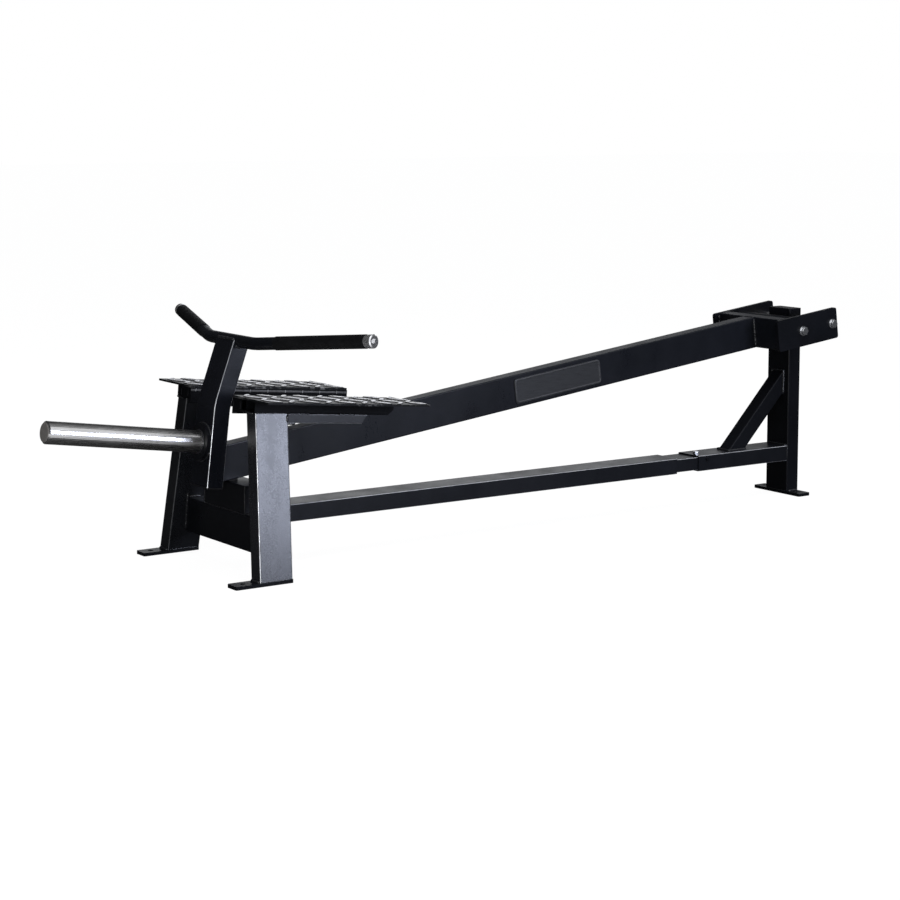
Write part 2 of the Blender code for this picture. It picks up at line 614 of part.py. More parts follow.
# local X is the wide side (world Y), local Y points back along the machine
for v in bm.verts:
    s = v.co.z + total / 2
    if s <= straight_lo:
        c, b = start + lo_dir * s, lo_back
    elif s >= straight_lo + arc:
        c, b = corner_c + hi_dir * (s - straight_lo - arc + cut), hi_back
    else:
        a = (s - straight_lo) / BEND_R
        lean = HP_LEAN + a
        b = Vector((math.cos(lean), 0, -math.sin(lean)))
        centre = start + lo_dir * straight_lo + lo_back * BEND_R
        c = centre - b * BEND_R
    v.co = c + Vector((0, -1, 0)) * v.co.x + b * v.co.y
bmesh.ops.recalc_face_normals(bm, faces=bm.faces)
bm.to_mesh(post.data)
bm.free()
smooth(post)
dress(post, "coat")
saddle = cylinder_cutter("bar_saddle", at(BAR_C[0], 0, BAR_C[1]), (0, 1, 0), BAR_R + GAP, 0.20, 32)
boolean(post, saddle)

# plug in the lower end of the handle post
lo_frame = frame(start - lo_dir * (GAP + 0.00125), lo_dir, (0, 1, 0))
hp_cap = extrusion("handle_post_cap", [round_rect(TUBE_WIDE, TUBE_THIN, CORNER)], 0.0025, lo_frame)
hp_plug = extrusion("handle_plug", [round_rect(plug_w, plug_t, 0.0016, 2)], 0.014,
                    lo_frame @ Matrix.Translation((0, 0, 0.005)))
parts.objects.unlink(hp_plug)
cutters.objects.link(hp_plug)
hp_plug.hide_render = True
hp_plug.display_type = "WIRE"
boolean(hp_cap, hp_plug, "UNION")
smooth(hp_cap)
dress(hp_cap, "plastic")

# arm tube between the handle post and the yoke
arm = tube("arm_tube", arm_point(0.05), arm_point(1.55), TUBE_WIDE, TUBE_THIN, arm_up)
rear_face = at(HP_REF[0], 0, HP_REF[1]) + lo_back * (TUBE_THIN + GAP)
mitre(arm, -1, rear_face, lo_back)
mitre(arm, 1, arm_point(YOKE_CROSS_X) - arm_dir * GAP, arm_dir)

# blank name plate pad on the arm's left side
badge_c = arm_point(0.957, -TUBE_THIN / 2 - GAP - 0.0010)
badge = extrusion("arm_blank_plate", [round_rect(0.262, 0.060, 0.008, 5)], 0.0020,
                  Matrix(((arm_dir.x, arm_up.x, 0, badge_c.x), (0, 0, -1, badge_c.y),
                          (arm_dir.z, arm_up.z, 0, badge_c.z), (0, 0, 0, 1))))
smooth(badge)
dress(badge, "plastic")

# handlebar: level over the post, then swept back and slightly up on each side
tip = Vector(BAR_TIP)
bend = Vector((BAR_C[0], BAR_BEND_Y, BAR_C[1]))
out_dir = (tip - bend).normalized()
BAR_BEND_R = 0.110
ang = out_dir.angle(Vector((0, 1, 0)))
tan_len = BAR_BEND_R * math.tan(ang / 2)


def bar_half(s):
    """Centre line from the middle to the tip on one side."""
    p = [Vector((BAR_C[0], 0.020, BAR_C[1])), Vector((BAR_C[0], BAR_BEND_Y - tan_len - 0.010, BAR_C[1]))]
    first = bend - Vector((0, 1, 0)) * tan_len
    lateral = (out_dir - Vector((0, 1, 0)) * out_dir.y).normalized()
    centre = first + lateral * BAR_BEND_R
    for i in range(7):
        a = ang * i / 6
        p.append(centre - lateral * (BAR_BEND_R * math.cos(a)) + Vector((0, 1, 0)) * (BAR_BEND_R * math.sin(a)))
    q0 = p[-1]
    for f in (0.04, 0.5, 1.0):
        p.append(q0 + (tip - q0) * f)
    return [Vector((v.x, s * v.y, v.z)) for v in p]


line = bar_half(-1)[::-1] + bar_half(1)
cu = bpy.data.curves.new("handlebar", "CURVE")
cu.dimensions = "3D"
cu.bevel_depth = BAR_R
cu.bevel_resolution = 10
cu.use_fill_caps = False
sp = cu.splines.new("POLY")
sp.points.add(len(line) - 1)
for p, v in zip(sp.points, line):
    p.co = (*at(*v), 1.0)
bar_ob = bpy.data.objects.new("handlebar_line", cu)
scene.collection.objects.link(bar_ob)
bpy.context.view_layer.update()
handlebar = as_mesh(bar_ob, "handlebar")
shell = handlebar.modifiers.new("wall", "SOLIDIFY")
shell.thickness = BAR_WALL
shell.offset = -1.0
shell.use_even_offset = True
smooth(handlebar)
dress(handlebar, "coat")

for tag, s in SIDES:
    d = Vector((out_dir.x, s * out_dir.y, out_dir.z))
    end = at(tip.x, s * tip.y, tip.z)
    grip_c = end - d * (GRIP_LEN / 2 + 0.0005)
    grip = extrusion("grip_" + tag, [circle(GRIP_R, 32), circle(BAR_R + GAP, 32)], GRIP_LEN,
                     frame(grip_c, d, (0, 0, 1)))
    smooth(grip)
    dress(grip, "rubber")
    # metal end cap: neck, flange, and a plug in the bar's bore
    bore = BAR_R - BAR_WALL - GAP
    turned("bar_end_cap_" + tag,
           [(0, CAP_LEN), (0.0125, CAP_LEN), (0.0150, CAP_LEN - 0.0020), (0.0150, 0.0085), (0.0138, 0.0072),
            (0.0138, GAP), (bore, GAP), (bore, -0.022), (0, -0.022)], frame(end, d, (0, 0, 1)), "chrome", 32)
    hex_screw("bar_cap_screw_" + tag, end + d * (CAP_LEN + GAP), d, 0.0085, 0.0030, 0.0030, 0.0100, "chrome",
              washer_r=0.0060, washer_t=0.0010)
    cap_ob = bpy.data.objects["bar_end_cap_" + tag]
    boolean(cap_ob, cylinder_cutter("cap_tap_" + tag, end + d * (CAP_LEN - 0.0030), d, 0.0030 + GAP, 0.030, 16))

# -------------------------------------------------------------- loading pin
pin_dir = Vector((-math.cos(SLEEVE_TILT), 0, math.sin(SLEEVE_TILT)))
pin_ref = at(SLEEVE_X, 0, SLEEVE_Z)
face_pt = at(HP_REF[0], 0, HP_REF[1]) - lo_back * GAP
# where the pin's axis meets the post's front face
reach_back = (face_pt - pin_ref).dot(lo_back) / pin_dir.dot(lo_back)
seat = pin_ref + pin_dir * reach_back
collar_face = seat + pin_dir * COLLAR_T
collar = extrusion("weight_stop_collar", [circle(COLLAR_R, 40), circle(SLEEVE_R + GAP, 40)], COLLAR_T,
                   frame(seat + pin_dir * (COLLAR_T / 2), pin_dir, (0, 1, 0)))
mitre(collar, -1, face_pt, lo_back)
smooth(collar)
dress(collar, "coat")
pin_end = pin_ref + pin_dir * SLEEVE_LEN
pin_len = (pin_end - seat).length
CH = 0.0030
pin = turned("weight_sleeve", [(SLEEVE_R - CH, pin_len / 2), (SLEEVE_R, pin_len / 2 - CH), (SLEEVE_R, -pin_len / 2),
                               (SLEEVE_R - SLEEVE_WALL, -pin_len / 2), (SLEEVE_R - SLEEVE_WALL, pin_len / 2)],
             frame((seat + pin_end) / 2, pin_dir, (0, 1, 0)), "steel", 40)
# its foot is cut to the face of the handle post
mitre(pin, -1, face_pt, lo_back)
turned("weight_sleeve_cap", [(0, 0.0012), (SLEEVE_R - CH - 0.0012, 0.0012), (SLEEVE_R - CH - 0.0004, 0.0004),
                             (SLEEVE_R - CH - 0.0004, GAP), (SLEEVE_R - SLEEVE_WALL - GAP, GAP),
                             (SLEEVE_R - SLEEVE_WALL - GAP, -0.014), (0, -0.014)],
       frame(pin_end, pin_dir, (0, 1, 0)), "steel", 40)

# --------------------------------------------------------------- pivot empty
MOVING = ["arm_tube", "arm_blank_plate", "handle_post", "handle_post_cap", "handlebar", "grip_l", "grip_r",
          "bar_end_cap_l", "bar_end_cap_r", "bar_cap_screw_l", "bar_cap_screw_r", "weight_stop_collar",
          "weight_sleeve", "weight_sleeve_cap", "yoke_plate_l", "yoke_plate_r", "yoke_cross_tube",
          "pivot_axle", "pivot_bolt_l", "pivot_bolt_r", "stop_spacer", "stop_bolt", "stop_nut"]
axis = bpy.data.objects.new("arm_pivot_axis", None)
axis.empty_display_size = 0.1
parts.objects.link(axis)
axis.location = pivot
bpy.context.view_layer.update()
for name in MOVING:
    ob = bpy.data.objects[name]
    world = ob.matrix_world.copy()
    ob.parent = axis
    ob.matrix_parent_inverse = axis.matrix_world.inverted()
    ob.matrix_world = world
bpy.context.view_layer.update()
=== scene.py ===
import bpy
import bmesh
import math
from mathutils import Matrix, Vector, noise


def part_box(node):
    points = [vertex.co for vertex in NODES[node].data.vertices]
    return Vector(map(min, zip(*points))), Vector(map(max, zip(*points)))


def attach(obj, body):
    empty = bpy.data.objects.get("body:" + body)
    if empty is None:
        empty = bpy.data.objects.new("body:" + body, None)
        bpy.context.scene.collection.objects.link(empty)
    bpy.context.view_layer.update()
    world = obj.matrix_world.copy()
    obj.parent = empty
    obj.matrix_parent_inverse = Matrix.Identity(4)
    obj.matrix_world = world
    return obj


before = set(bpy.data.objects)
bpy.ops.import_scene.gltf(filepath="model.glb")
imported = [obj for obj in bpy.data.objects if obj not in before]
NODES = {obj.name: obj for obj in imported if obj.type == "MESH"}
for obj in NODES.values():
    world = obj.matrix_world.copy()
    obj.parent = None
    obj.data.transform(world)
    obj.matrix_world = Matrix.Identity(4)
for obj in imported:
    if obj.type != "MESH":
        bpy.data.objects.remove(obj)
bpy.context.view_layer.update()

scene = bpy.context.scene

# ------------------------------------------------------------------ dimensions
# The same driving dimensions as the solids, in metres; x counts from the front
# face of the front legs and is shifted by OX into the shared frame.
OX = 0.7034947
TUBE_W, TUBE_T, CORNER = 0.080, 0.040, 0.0025
LEG_X0, LEG_Y0, LEG_LEAN, LEG_SPLAY = 0.0421, 0.21465, 0.0673, 0.1585
FOOT_T = 0.008
CROSS_X, CROSS_Z = (0.0450, 0.0850), (0.0500, 0.1300)
RAIL_TOP, RAIL_SPLIT0 = 0.1300, 1.3220
POST_X = (1.6995, 1.7395)
REST_X, REST_TOP, REST_HALF, REST_END_T = (0.0450, 0.1050), 0.1935, 0.0945, 0.0030
BRACE_D, BRACE_A, BRACE_SLOPE = 0.040, (1.5209, 0.1389), math.radians(46.35)
DECK_X, DECK_Y, DECK_Z, DECK_T = (0.0153, 0.4282), (0.0984, 0.2514), (0.3974, 0.3606), 0.0045
BEARER_H, BRACKET_H, EDGE_T, EDGE_H, EDGE_SET = 0.0260, 0.0200, 0.0050, 0.0350, 0.0010
ARM_X0, ARM_Z0, ARM_SLOPE = 0.2000, 0.25540, math.atan(0.1272)
PIVOT_X, STOP_X = 1.6662, 1.7695
YOKE_Y, YOKE_CROSS_X, YOKE_CROSS_T = (0.1150, 0.1250), 1.5970, 0.030
HP_LEAN, HP_REF = math.atan(0.1192), (-0.0058, 0.3000)
BAR_R, BAR_C = 0.0140, (0.0690, 0.5050)
BAR_BEND_Y, BAR_TIP = 0.100, (0.1617, 0.4090, 0.5320)
SLEEVE_TILT, SLEEVE_Z, SLEEVE_X, SLEEVE_R, SLEEVE_LEN = 0.1400, 0.2868, -0.0250, 0.0248, 0.3590
COLLAR_R, COLLAR_T = 0.0410, 0.0100
GAP = 0.0003
splay = math.atan(LEG_SPLAY)


def at(x, y, z):
    return Vector((x - OX, y, z))


deck_slope = math.atan2(DECK_Z[0] - DECK_Z[1], DECK_X[1] - DECK_X[0])
deck_dir = Vector((math.cos(deck_slope), 0, -math.sin(deck_slope)))
deck_up = Vector((math.sin(deck_slope), 0, math.cos(deck_slope)))
arm_dir = Vector((math.cos(ARM_SLOPE), 0, math.sin(ARM_SLOPE)))
arm_up = Vector((-math.sin(ARM_SLOPE), 0, math.cos(ARM_SLOPE)))
lo_dir = Vector((math.sin(HP_LEAN), 0, math.cos(HP_LEAN)))
lo_back = Vector((math.cos(HP_LEAN), 0, -math.sin(HP_LEAN)))
pin_dir = Vector((-math.cos(SLEEVE_TILT), 0, math.sin(SLEEVE_TILT)))


def deck_point(x, y, below=0.0):
    z = DECK_Z[0] - math.tan(deck_slope) * (x - DECK_X[0])
    return at(x, y, z) - deck_up * below


def leg_centre(z, s):
    return at(LEG_X0 + LEG_LEAN * z, s * (LEG_Y0 - LEG_SPLAY * z), z)


def arm_point(x, y=0.0, up=0.0):
    return at(x, y, ARM_Z0 + math.tan(ARM_SLOPE) * (x - ARM_X0)) + arm_up * up


# ------------------------------------------------------------------- materials
class Graph:
    """Short helpers for building a material's nodes."""

    def __init__(self, name):
        self.mat = bpy.data.materials.new(name)
        self.mat.use_nodes = True
        self.nt = self.mat.node_tree
        self.bsdf = self.nt.nodes["Principled BSDF"]
        source = self.nt.nodes.new("ShaderNodeTexCoord")
        self.coord, self.normal = source.outputs["Object"], source.outputs["Normal"]

    def link(self, a, b):
        self.nt.links.new(a, b)
        return b

    def mapped(self, scale=(1, 1, 1), rot=(0, 0, 0)):
        m = self.nt.nodes.new("ShaderNodeMapping")
        m.vector_type = "POINT"
        m.inputs["Scale"].default_value = scale
        m.inputs["Rotation"].default_value = rot
        self.link(self.coord, m.inputs["Vector"])
        return m.outputs["Vector"]

    def noise(self, scale, detail=3.0, rough=0.55, vec=None, distortion=0.0):
        n = self.nt.nodes.new("ShaderNodeTexNoise")
        n.inputs["Scale"].default_value = scale
        n.inputs["Detail"].default_value = detail
        n.inputs["Roughness"].default_value = rough
        n.inputs["Distortion"].default_value = distortion
        self.link(vec or self.coord, n.inputs["Vector"])
        return n.outputs["Fac"]

    def cells(self, scale, vec=None, out="Distance"):
        n = self.nt.nodes.new("ShaderNodeTexVoronoi")
        n.inputs["Scale"].default_value = scale
        self.link(vec or self.coord, n.inputs["Vector"])
        return n.outputs[out]

    def ramp(self, fac, a, b, lo=0.0, hi=1.0):
        n = self.nt.nodes.new("ShaderNodeMapRange")
        n.clamp = True
        for k, v in (("From Min", a), ("From Max", b), ("To Min", lo), ("To Max", hi)):
            n.inputs[k].default_value = v
        self.link(fac, n.inputs["Value"])
        return n.outputs["Result"]

    def math(self, op, a, b):
        n = self.nt.nodes.new("ShaderNodeMath")
        n.operation = op
        for i, v in enumerate((a, b)):
            if isinstance(v, (int, float)):
                n.inputs[i].default_value = v
            else:
                self.link(v, n.inputs[i])
        return n.outputs[0]

    def mix(self, fac, a, b):
        n = self.nt.nodes.new("ShaderNodeMix")
        n.data_type = "RGBA"
        self.link(fac, n.inputs["Factor"])
        for sock, v in ((n.inputs[6], a), (n.inputs[7], b)):
            if isinstance(v, tuple):
                sock.default_value = (*v, 1.0)
            else:
                self.link(v, sock)
        return n.outputs[2]

    def bump(self, height, strength, distance, chain=None):
        n = self.nt.nodes.new("ShaderNodeBump")
        n.inputs["Strength"].default_value = strength
        n.inputs["Distance"].default_value = distance
        self.link(height, n.inputs["Height"])
        if chain:
            self.link(chain, n.inputs["Normal"])
        return n.outputs["Normal"]

    def attribute(self, name):
        n = self.nt.nodes.new("ShaderNodeAttribute")
        n.attribute_name = name
        return n.outputs["Fac"]

    def put(self, socket, value):
        s = self.bsdf.inputs[socket]
        if isinstance(value, (int, float)):
            s.default_value = value
        elif isinstance(value, tuple):
            s.default_value = (*value, 1.0)
        else:
            self.link(value, s)


def powder_coat(name, dark, light, rough=0.36, spec=0.5, dust=0.35, peel=0.10, corner=None, corner_highlight=1.0):
    """Satin polyester powder coat: orange peel, faint mottling, fine dust specks; with corner set, a painted highlight
    along square corners.
    """
    g = Graph(name)
    blotch = g.noise(5.5, 5.0, 0.6)
    tint = g.mix(g.ramp(blotch, 0.35, 0.70), dark, light)
    speck = g.ramp(g.cells(950.0), 0.06, 0.16, 1.0, 0.0)
    rare = g.ramp(g.noise(60.0, 2.0), 0.52, 0.66, 0.0, dust)
    col = g.mix(g.math("MULTIPLY", speck, rare), tint, (0.16, 0.165, 0.18))
    if corner:
        # square corners get a painted highlight, partly edge wear: lighter and more metallic where the facing is
        # oblique to every flat side
        n = g.nt.nodes.new("ShaderNodeSeparateXYZ")
        g.link(g.normal, n.inputs[0])
        top = g.math("MAXIMUM", g.math("ABSOLUTE", n.outputs[0], 0.0),
                     g.math("MAXIMUM", g.math("ABSOLUTE", n.outputs[1], 0.0), g.math("ABSOLUTE", n.outputs[2], 0.0)))
        corner_wear_highlight = g.math("MULTIPLY", g.ramp(top, corner[0], corner[1], 0.0, corner_highlight), g.ramp(g.noise(38.0, 4.0, 0.6), 0.30, 0.60, 0.45, 1.0))
        col = g.mix(corner_wear_highlight, col, (0.62, 0.63, 0.66))
        g.put("Metallic", g.ramp(corner_wear_highlight, 0.0, 1.0, 0.0, 0.80))
    g.put("Base Color", col)
    smear = g.noise(14.0, 6.0, 0.65, g.mapped((1.0, 1.0, 0.35)))
    fine = g.noise(420.0, 2.0, 0.5)
    r = g.math("ADD", g.ramp(smear, 0.30, 0.72, rough - 0.045, rough + 0.060), g.ramp(fine, 0.3, 0.7, -0.02, 0.02))
    g.put("Roughness", r)
    g.put("Specular IOR Level", spec)
    b = g.bump(g.noise(260.0, 2.5, 0.5), peel, 0.0004)
    b = g.bump(g.noise(1300.0, 1.5, 0.5), peel * 0.6, 0.0001, b)
    g.put("Normal", b)
    return g.mat


COAT = powder_coat("powder_coat", (0.0050, 0.0056, 0.0078), (0.0088, 0.0097, 0.0132), rough=0.32, spec=0.30, corner=(0.950, 0.86))
COAT_BRACKET = powder_coat("powder_coat_bracket", (0.0050, 0.0056, 0.0078), (0.0088, 0.0097, 0.0132), rough=0.32, corner=(0.940, 0.84))
# near leg: a lighter copy of the coat painted as lit; far leg: a darker copy painted as shaded, with a weaker corner
# highlight
COAT_LEG_LIT = powder_coat("powder_coat_leg_painted_lit", (0.0085, 0.0092, 0.0115), (0.0160, 0.0170, 0.0205), rough=0.27, dust=0.5, peel=0.16, corner=(0.950, 0.86))
COAT_LEG_FAR_SHADED = powder_coat("powder_coat_leg_far_painted_shade", (0.0060, 0.0066, 0.0085), (0.0120, 0.0130, 0.0160), rough=0.29, dust=0.4, peel=0.16, corner=(0.950, 0.86), corner_highlight=0.22)
COAT_ARM = powder_coat("powder_coat_arm", (0.0048, 0.0055, 0.0080), (0.0085, 0.0096, 0.0135), rough=0.31, spec=0.25)
COAT_POST = powder_coat("powder_coat_post", (0.0045, 0.0052, 0.0076), (0.0080, 0.0090, 0.0128), rough=0.22, spec=0.22, corner=(0.915, 0.80))
COAT_PLAIN = powder_coat("powder_coat_plate", (0.0036, 0.0040, 0.0056), (0.0066, 0.0073, 0.0098), rough=0.33, spec=0.20)
# darkest copy of the coat: painted shade for the parts under the tread plates
COAT_SHADE_UNDER = powder_coat("powder_coat_painted_shade_under", (0.0028, 0.0030, 0.0038), (0.0050, 0.0053, 0.0064), rough=0.42, spec=0.05)
# lighter copy of the coat on the weld beads: a painted highlight along them
WELD_HIGHLIGHT_COAT = powder_coat("powder_coat_weld_painted_highlight", (0.0100, 0.0105, 0.0125), (0.0190, 0.0195, 0.0225), rough=0.24, spec=0.6, peel=0.20)


def tread(name, crown_highlight_range):
    """Coated tread plate; the raised bars are painted bright along their crowns, partly wear and partly painted
    highlight.
    """
    g = Graph(name)
    base = g.mix(g.ramp(g.noise(22.0, 4.0, 0.6), 0.35, 0.7), (0.0035, 0.0037, 0.0045), (0.0085, 0.0088, 0.0100))
    scuff = g.ramp(g.noise(70.0, 5.0, 0.7, g.mapped((1.0, 0.25, 1.0))), 0.50, 0.72)
    if crown_highlight_range:
        # bar crowns: partly real wear, partly a painted highlight spread down the flanks
        crown = g.ramp(g.attribute("crown"), crown_highlight_range[0], crown_highlight_range[1])
        wear_and_highlight = g.math("MULTIPLY", crown, g.ramp(g.noise(120.0, 4.0, 0.65), 0.24, 0.46, 0.35, 1.0))
    else:
        # plain plate: scattered scuff wear
        wear_and_highlight = g.math("MULTIPLY", scuff, g.ramp(g.noise(9.0, 3.0), 0.42, 0.70, 0.0, 0.45))
    g.put("Base Color", g.mix(wear_and_highlight, base, (0.93, 0.93, 0.95)))
    g.put("Metallic", g.ramp(wear_and_highlight, 0.2, 0.8, 0.0, 0.40))
    g.put("Roughness", g.math("ADD", g.ramp(g.noise(30.0, 4.0), 0.3, 0.7, 0.30, 0.42), g.ramp(wear_and_highlight, 0.0, 1.0, 0.0, -0.13)))
    g.put("Specular IOR Level", 0.10)
    b = g.bump(g.noise(480.0, 3.0, 0.6), 0.14, 0.0003)
    b = g.bump(g.noise(1500.0, 1.0, 0.5), 0.10, 0.0001, b)
    g.put("Normal", b)
    return g.mat


DECK = tread("tread_plate", None)
# bars and lip ticks carry the painted crown highlight
TREAD = tread("tread_bars", (0.20, 0.58))
LIP = tread("tread_lip", (0.42, 1.75))


def turned_steel(name, along, base=(0.58, 0.57, 0.56), rough=0.26, metal=1.0):
    """Drawn and polished bar: streaks along its length, faint turning rings across it."""
    g = Graph(name)
    ang = math.atan2(along.z, along.x)
    vec = g.mapped((7.0, 330.0, 330.0), (0.0, ang, 0.0))
    streak = g.noise(1.0, 4.0, 0.6, vec)
    rings = g.noise(1.0, 2.0, 0.5, g.mapped((900.0, 6.0, 6.0), (0.0, ang, 0.0)))
    cloud = g.noise(9.0, 4.0, 0.6)
    tone = g.mix(g.ramp(streak, 0.30, 0.72), tuple(c * 0.80 for c in base), tuple(min(1.0, c * 1.18) for c in base))
    g.put("Base Color", g.mix(g.ramp(cloud, 0.55, 0.80, 0.0, 0.25), tone, (0.40, 0.39, 0.38)))
    g.put("Metallic", metal)
    g.put("Roughness", g.math("ADD", g.ramp(streak, 0.3, 0.7, rough - 0.05, rough + 0.07), g.ramp(cloud, 0.3, 0.7, -0.02, 0.05)))
    b = g.bump(streak, 0.10, 0.0003)
    b = g.bump(rings, 0.05, 0.0001, b)
    g.put("Normal", b)
    return g.mat


STEEL = turned_steel("turned_steel", pin_dir)
STEEL_END = turned_steel("faced_steel", pin_dir, (0.30, 0.285, 0.27), 0.40, 0.35)


def bright_metal(name, base, rough, scratch, metal=1.0):
    g = Graph(name)
    cloud = g.noise(160.0, 4.0, 0.6)
    lines = g.noise(1.0, 3.0, 0.6, g.mapped((240.0, 240.0, 2600.0)))
    g.put("Base Color", g.mix(g.ramp(cloud, 0.35, 0.7), tuple(c * 0.86 for c in base), base))
    g.put("Metallic", metal)
    g.put("Roughness", g.math("ADD", g.ramp(cloud, 0.3, 0.7, rough * 0.7, rough * 1.35), g.ramp(lines, 0.55, 0.75, 0.0, scratch)))
    g.put("Normal", g.bump(g.noise(700.0, 3.0, 0.6), 0.06 + scratch * 0.4, 0.0001))
    return g.mat


CHROME = bright_metal("chrome", (0.90, 0.90, 0.91), 0.12, 0.10, 0.92)
ZINC = bright_metal("zinc_plate", (0.90, 0.905, 0.92), 0.13, 0.08, 0.94)


def rubber(name, dark, light, rough, grain, depth):
    g = Graph(name)
    g.put("Base Color", g.mix(g.ramp(g.noise(35.0, 5.0, 0.65), 0.35, 0.7), dark, light))
    g.put("Roughness", g.ramp(g.noise(90.0, 4.0, 0.6), 0.3, 0.7, rough - 0.06, rough + 0.08))
    g.put("Specular IOR Level", 0.14)
    b = g.bump(g.cells(grain), 0.35, depth)
    b = g.bump(g.noise(grain * 0.55, 3.0, 0.6), 0.22, depth, b)
    g.put("Normal", b)
    return g.mat


RUBBER = rubber("rubber", (0.0038, 0.0038, 0.0044), (0.0075, 0.0075, 0.0085), 0.52, 900.0, 0.0003)
PLASTIC = rubber("moulded_plastic", (0.010, 0.010, 0.011), (0.016, 0.016, 0.018), 0.44, 1600.0, 0.0001)
PAD = rubber("bumper_rubber", (0.016, 0.016, 0.016), (0.030, 0.029, 0.028), 0.70, 500.0, 0.0004)


def badge_face(name):
    """Blank pad: fine straight grain under a thin clear lacquer."""
    g = Graph(name)
    ang = math.atan2(arm_dir.z, arm_dir.x)
    grain = g.noise(1.0, 4.0, 0.6, g.mapped((18.0, 900.0, 1800.0), (0.0, ang, 0.0)))
    g.put("Base Color", g.mix(g.ramp(grain, 0.3, 0.72), (0.012, 0.0125, 0.014), (0.034, 0.035, 0.038)))
    g.put("Roughness", g.ramp(grain, 0.3, 0.7, 0.26, 0.40))
    g.put("Normal", g.bump(grain, 0.10, 0.0002))
    return g.mat


BADGE = badge_face("badge_face")
RIM = bright_metal("badge_rim", (0.055, 0.056, 0.060), 0.34, 0.05, 0.3)


# --------------------------------------------------------- finish of the solids
def finish_node(name, mat, bevel=0.0006, segments=2, angle=38.0):
    ob = NODES[name]
    ob.data.materials.clear()
    ob.data.materials.append(mat)
    if bevel:
        b = ob.modifiers.new("edge", "BEVEL")
        b.width = bevel
        b.segments = segments
        b.limit_method = "ANGLE"
        b.angle_limit = math.radians(angle)
        b.harden_normals = True
        b.use_clamp_overlap = True


finish_node("front_leg_l", COAT_LEG_LIT, 0.0005)
finish_node("front_leg_r", COAT_LEG_FAR_SHADED, 0.0005)
for n in ("base_rail_front", "base_rail_rear", "rail_splice_sleeve",
          "deck_bracket_l", "deck_bracket_r"):
    finish_node(n, COAT_BRACKET if n.startswith("deck_bracket") else COAT, 0.0005)
# parts under the tread plates take the painted-shade coat
for n in ("deck_bearer_l", "deck_bearer_r", "deck_cross_support_l", "deck_cross_support_r", "deck_edge_bar_l",
          "deck_edge_bar_r"):
    finish_node(n, COAT_SHADE_UNDER, 0.0005)
for n in ("front_cross_member", "rest_block", "rest_block_end_l", "rest_block_end_r", "rear_post", "diagonal_brace", "pivot_housing", "weight_stop_collar", "handlebar"):
    finish_node(n, COAT_PLAIN, 0.0005)
for n in ("arm_tube", "yoke_cross_tube"):
    finish_node(n, COAT_ARM, 0.0005)
finish_node("handle_post", COAT_POST, 0.0005)
for n in ("front_foot_plate_l", "front_foot_plate_r", "rear_foot_plate", "yoke_plate_l", "yoke_plate_r"):
    finish_node(n, COAT_PLAIN, 0.0011, 3)
for n in ("deck_plate_l", "deck_plate_r"):
    finish_node(n, DECK, 0.0009, 2)
finish_node("weight_sleeve", STEEL, 0.0006)
finish_node("weight_sleeve_cap", STEEL_END, 0.0004)
for n in ("pivot_bearing_l", "pivot_bearing_r", "pivot_axle"):
    finish_node(n, STEEL, 0.0004)
for n in ("pivot_bolt_l", "pivot_bolt_r", "stop_bolt", "stop_nut", "stop_spacer", "rail_splice_screw_top"):
    finish_node(n, ZINC, 0.0005, 2, 25.0)
finish_node("rail_splice_screw_side", COAT_PLAIN, 0.0004)
for n in ("bar_end_cap_l", "bar_end_cap_r", "bar_cap_screw_l", "bar_cap_screw_r"):
    finish_node(n, CHROME, 0.0003, 2, 25.0)
for n in ("grip_l", "grip_r"):
    finish_node(n, RUBBER, 0.0010, 3)
finish_node("rest_pad", PAD, 0.0015, 3)
for n in ("rear_post_cap", "handle_post_cap"):
    finish_node(n, PLASTIC, 0.0008, 2)
finish_node("arm_blank_plate", BADGE, 0.0006, 2)


# --------------------------------------------------------------- mesh builders
def piece(name, bm, body, mat, smooth=40.0):
    me = bpy.data.meshes.new(name)
    bmesh.ops.recalc_face_normals(bm, faces=bm.faces)
    bm.to_mesh(me)
    bm.free()
    me.shade_smooth()
    if smooth:
        me.set_sharp_from_angle(angle=math.radians(smooth))
    ob = bpy.data.objects.new(name, me)
    scene.collection.objects.link(ob)
    me.materials.append(mat)
    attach(ob, body)
    return ob


def resample(pts, step, closed):
    pts = [Vector(p) for p in pts]
    if closed:
        pts = pts + [pts[0]]
    seg = [(b - a).length for a, b in zip(pts, pts[1:])]
    total = sum(seg)
    n = max(3, int(round(total / step)))
    out, i, run = [], 0, 0.0
    for k in range(n if closed else n + 1):
        s = total * k / n
        while i < len(seg) - 1 and run + seg[i] < s:
            run += seg[i]
            i += 1
        f = (s - run) / seg[i] if seg[i] else 0.0
        out.append((pts[i].lerp(pts[i + 1], min(max(f, 0.0), 1.0)), s))
    return out, total


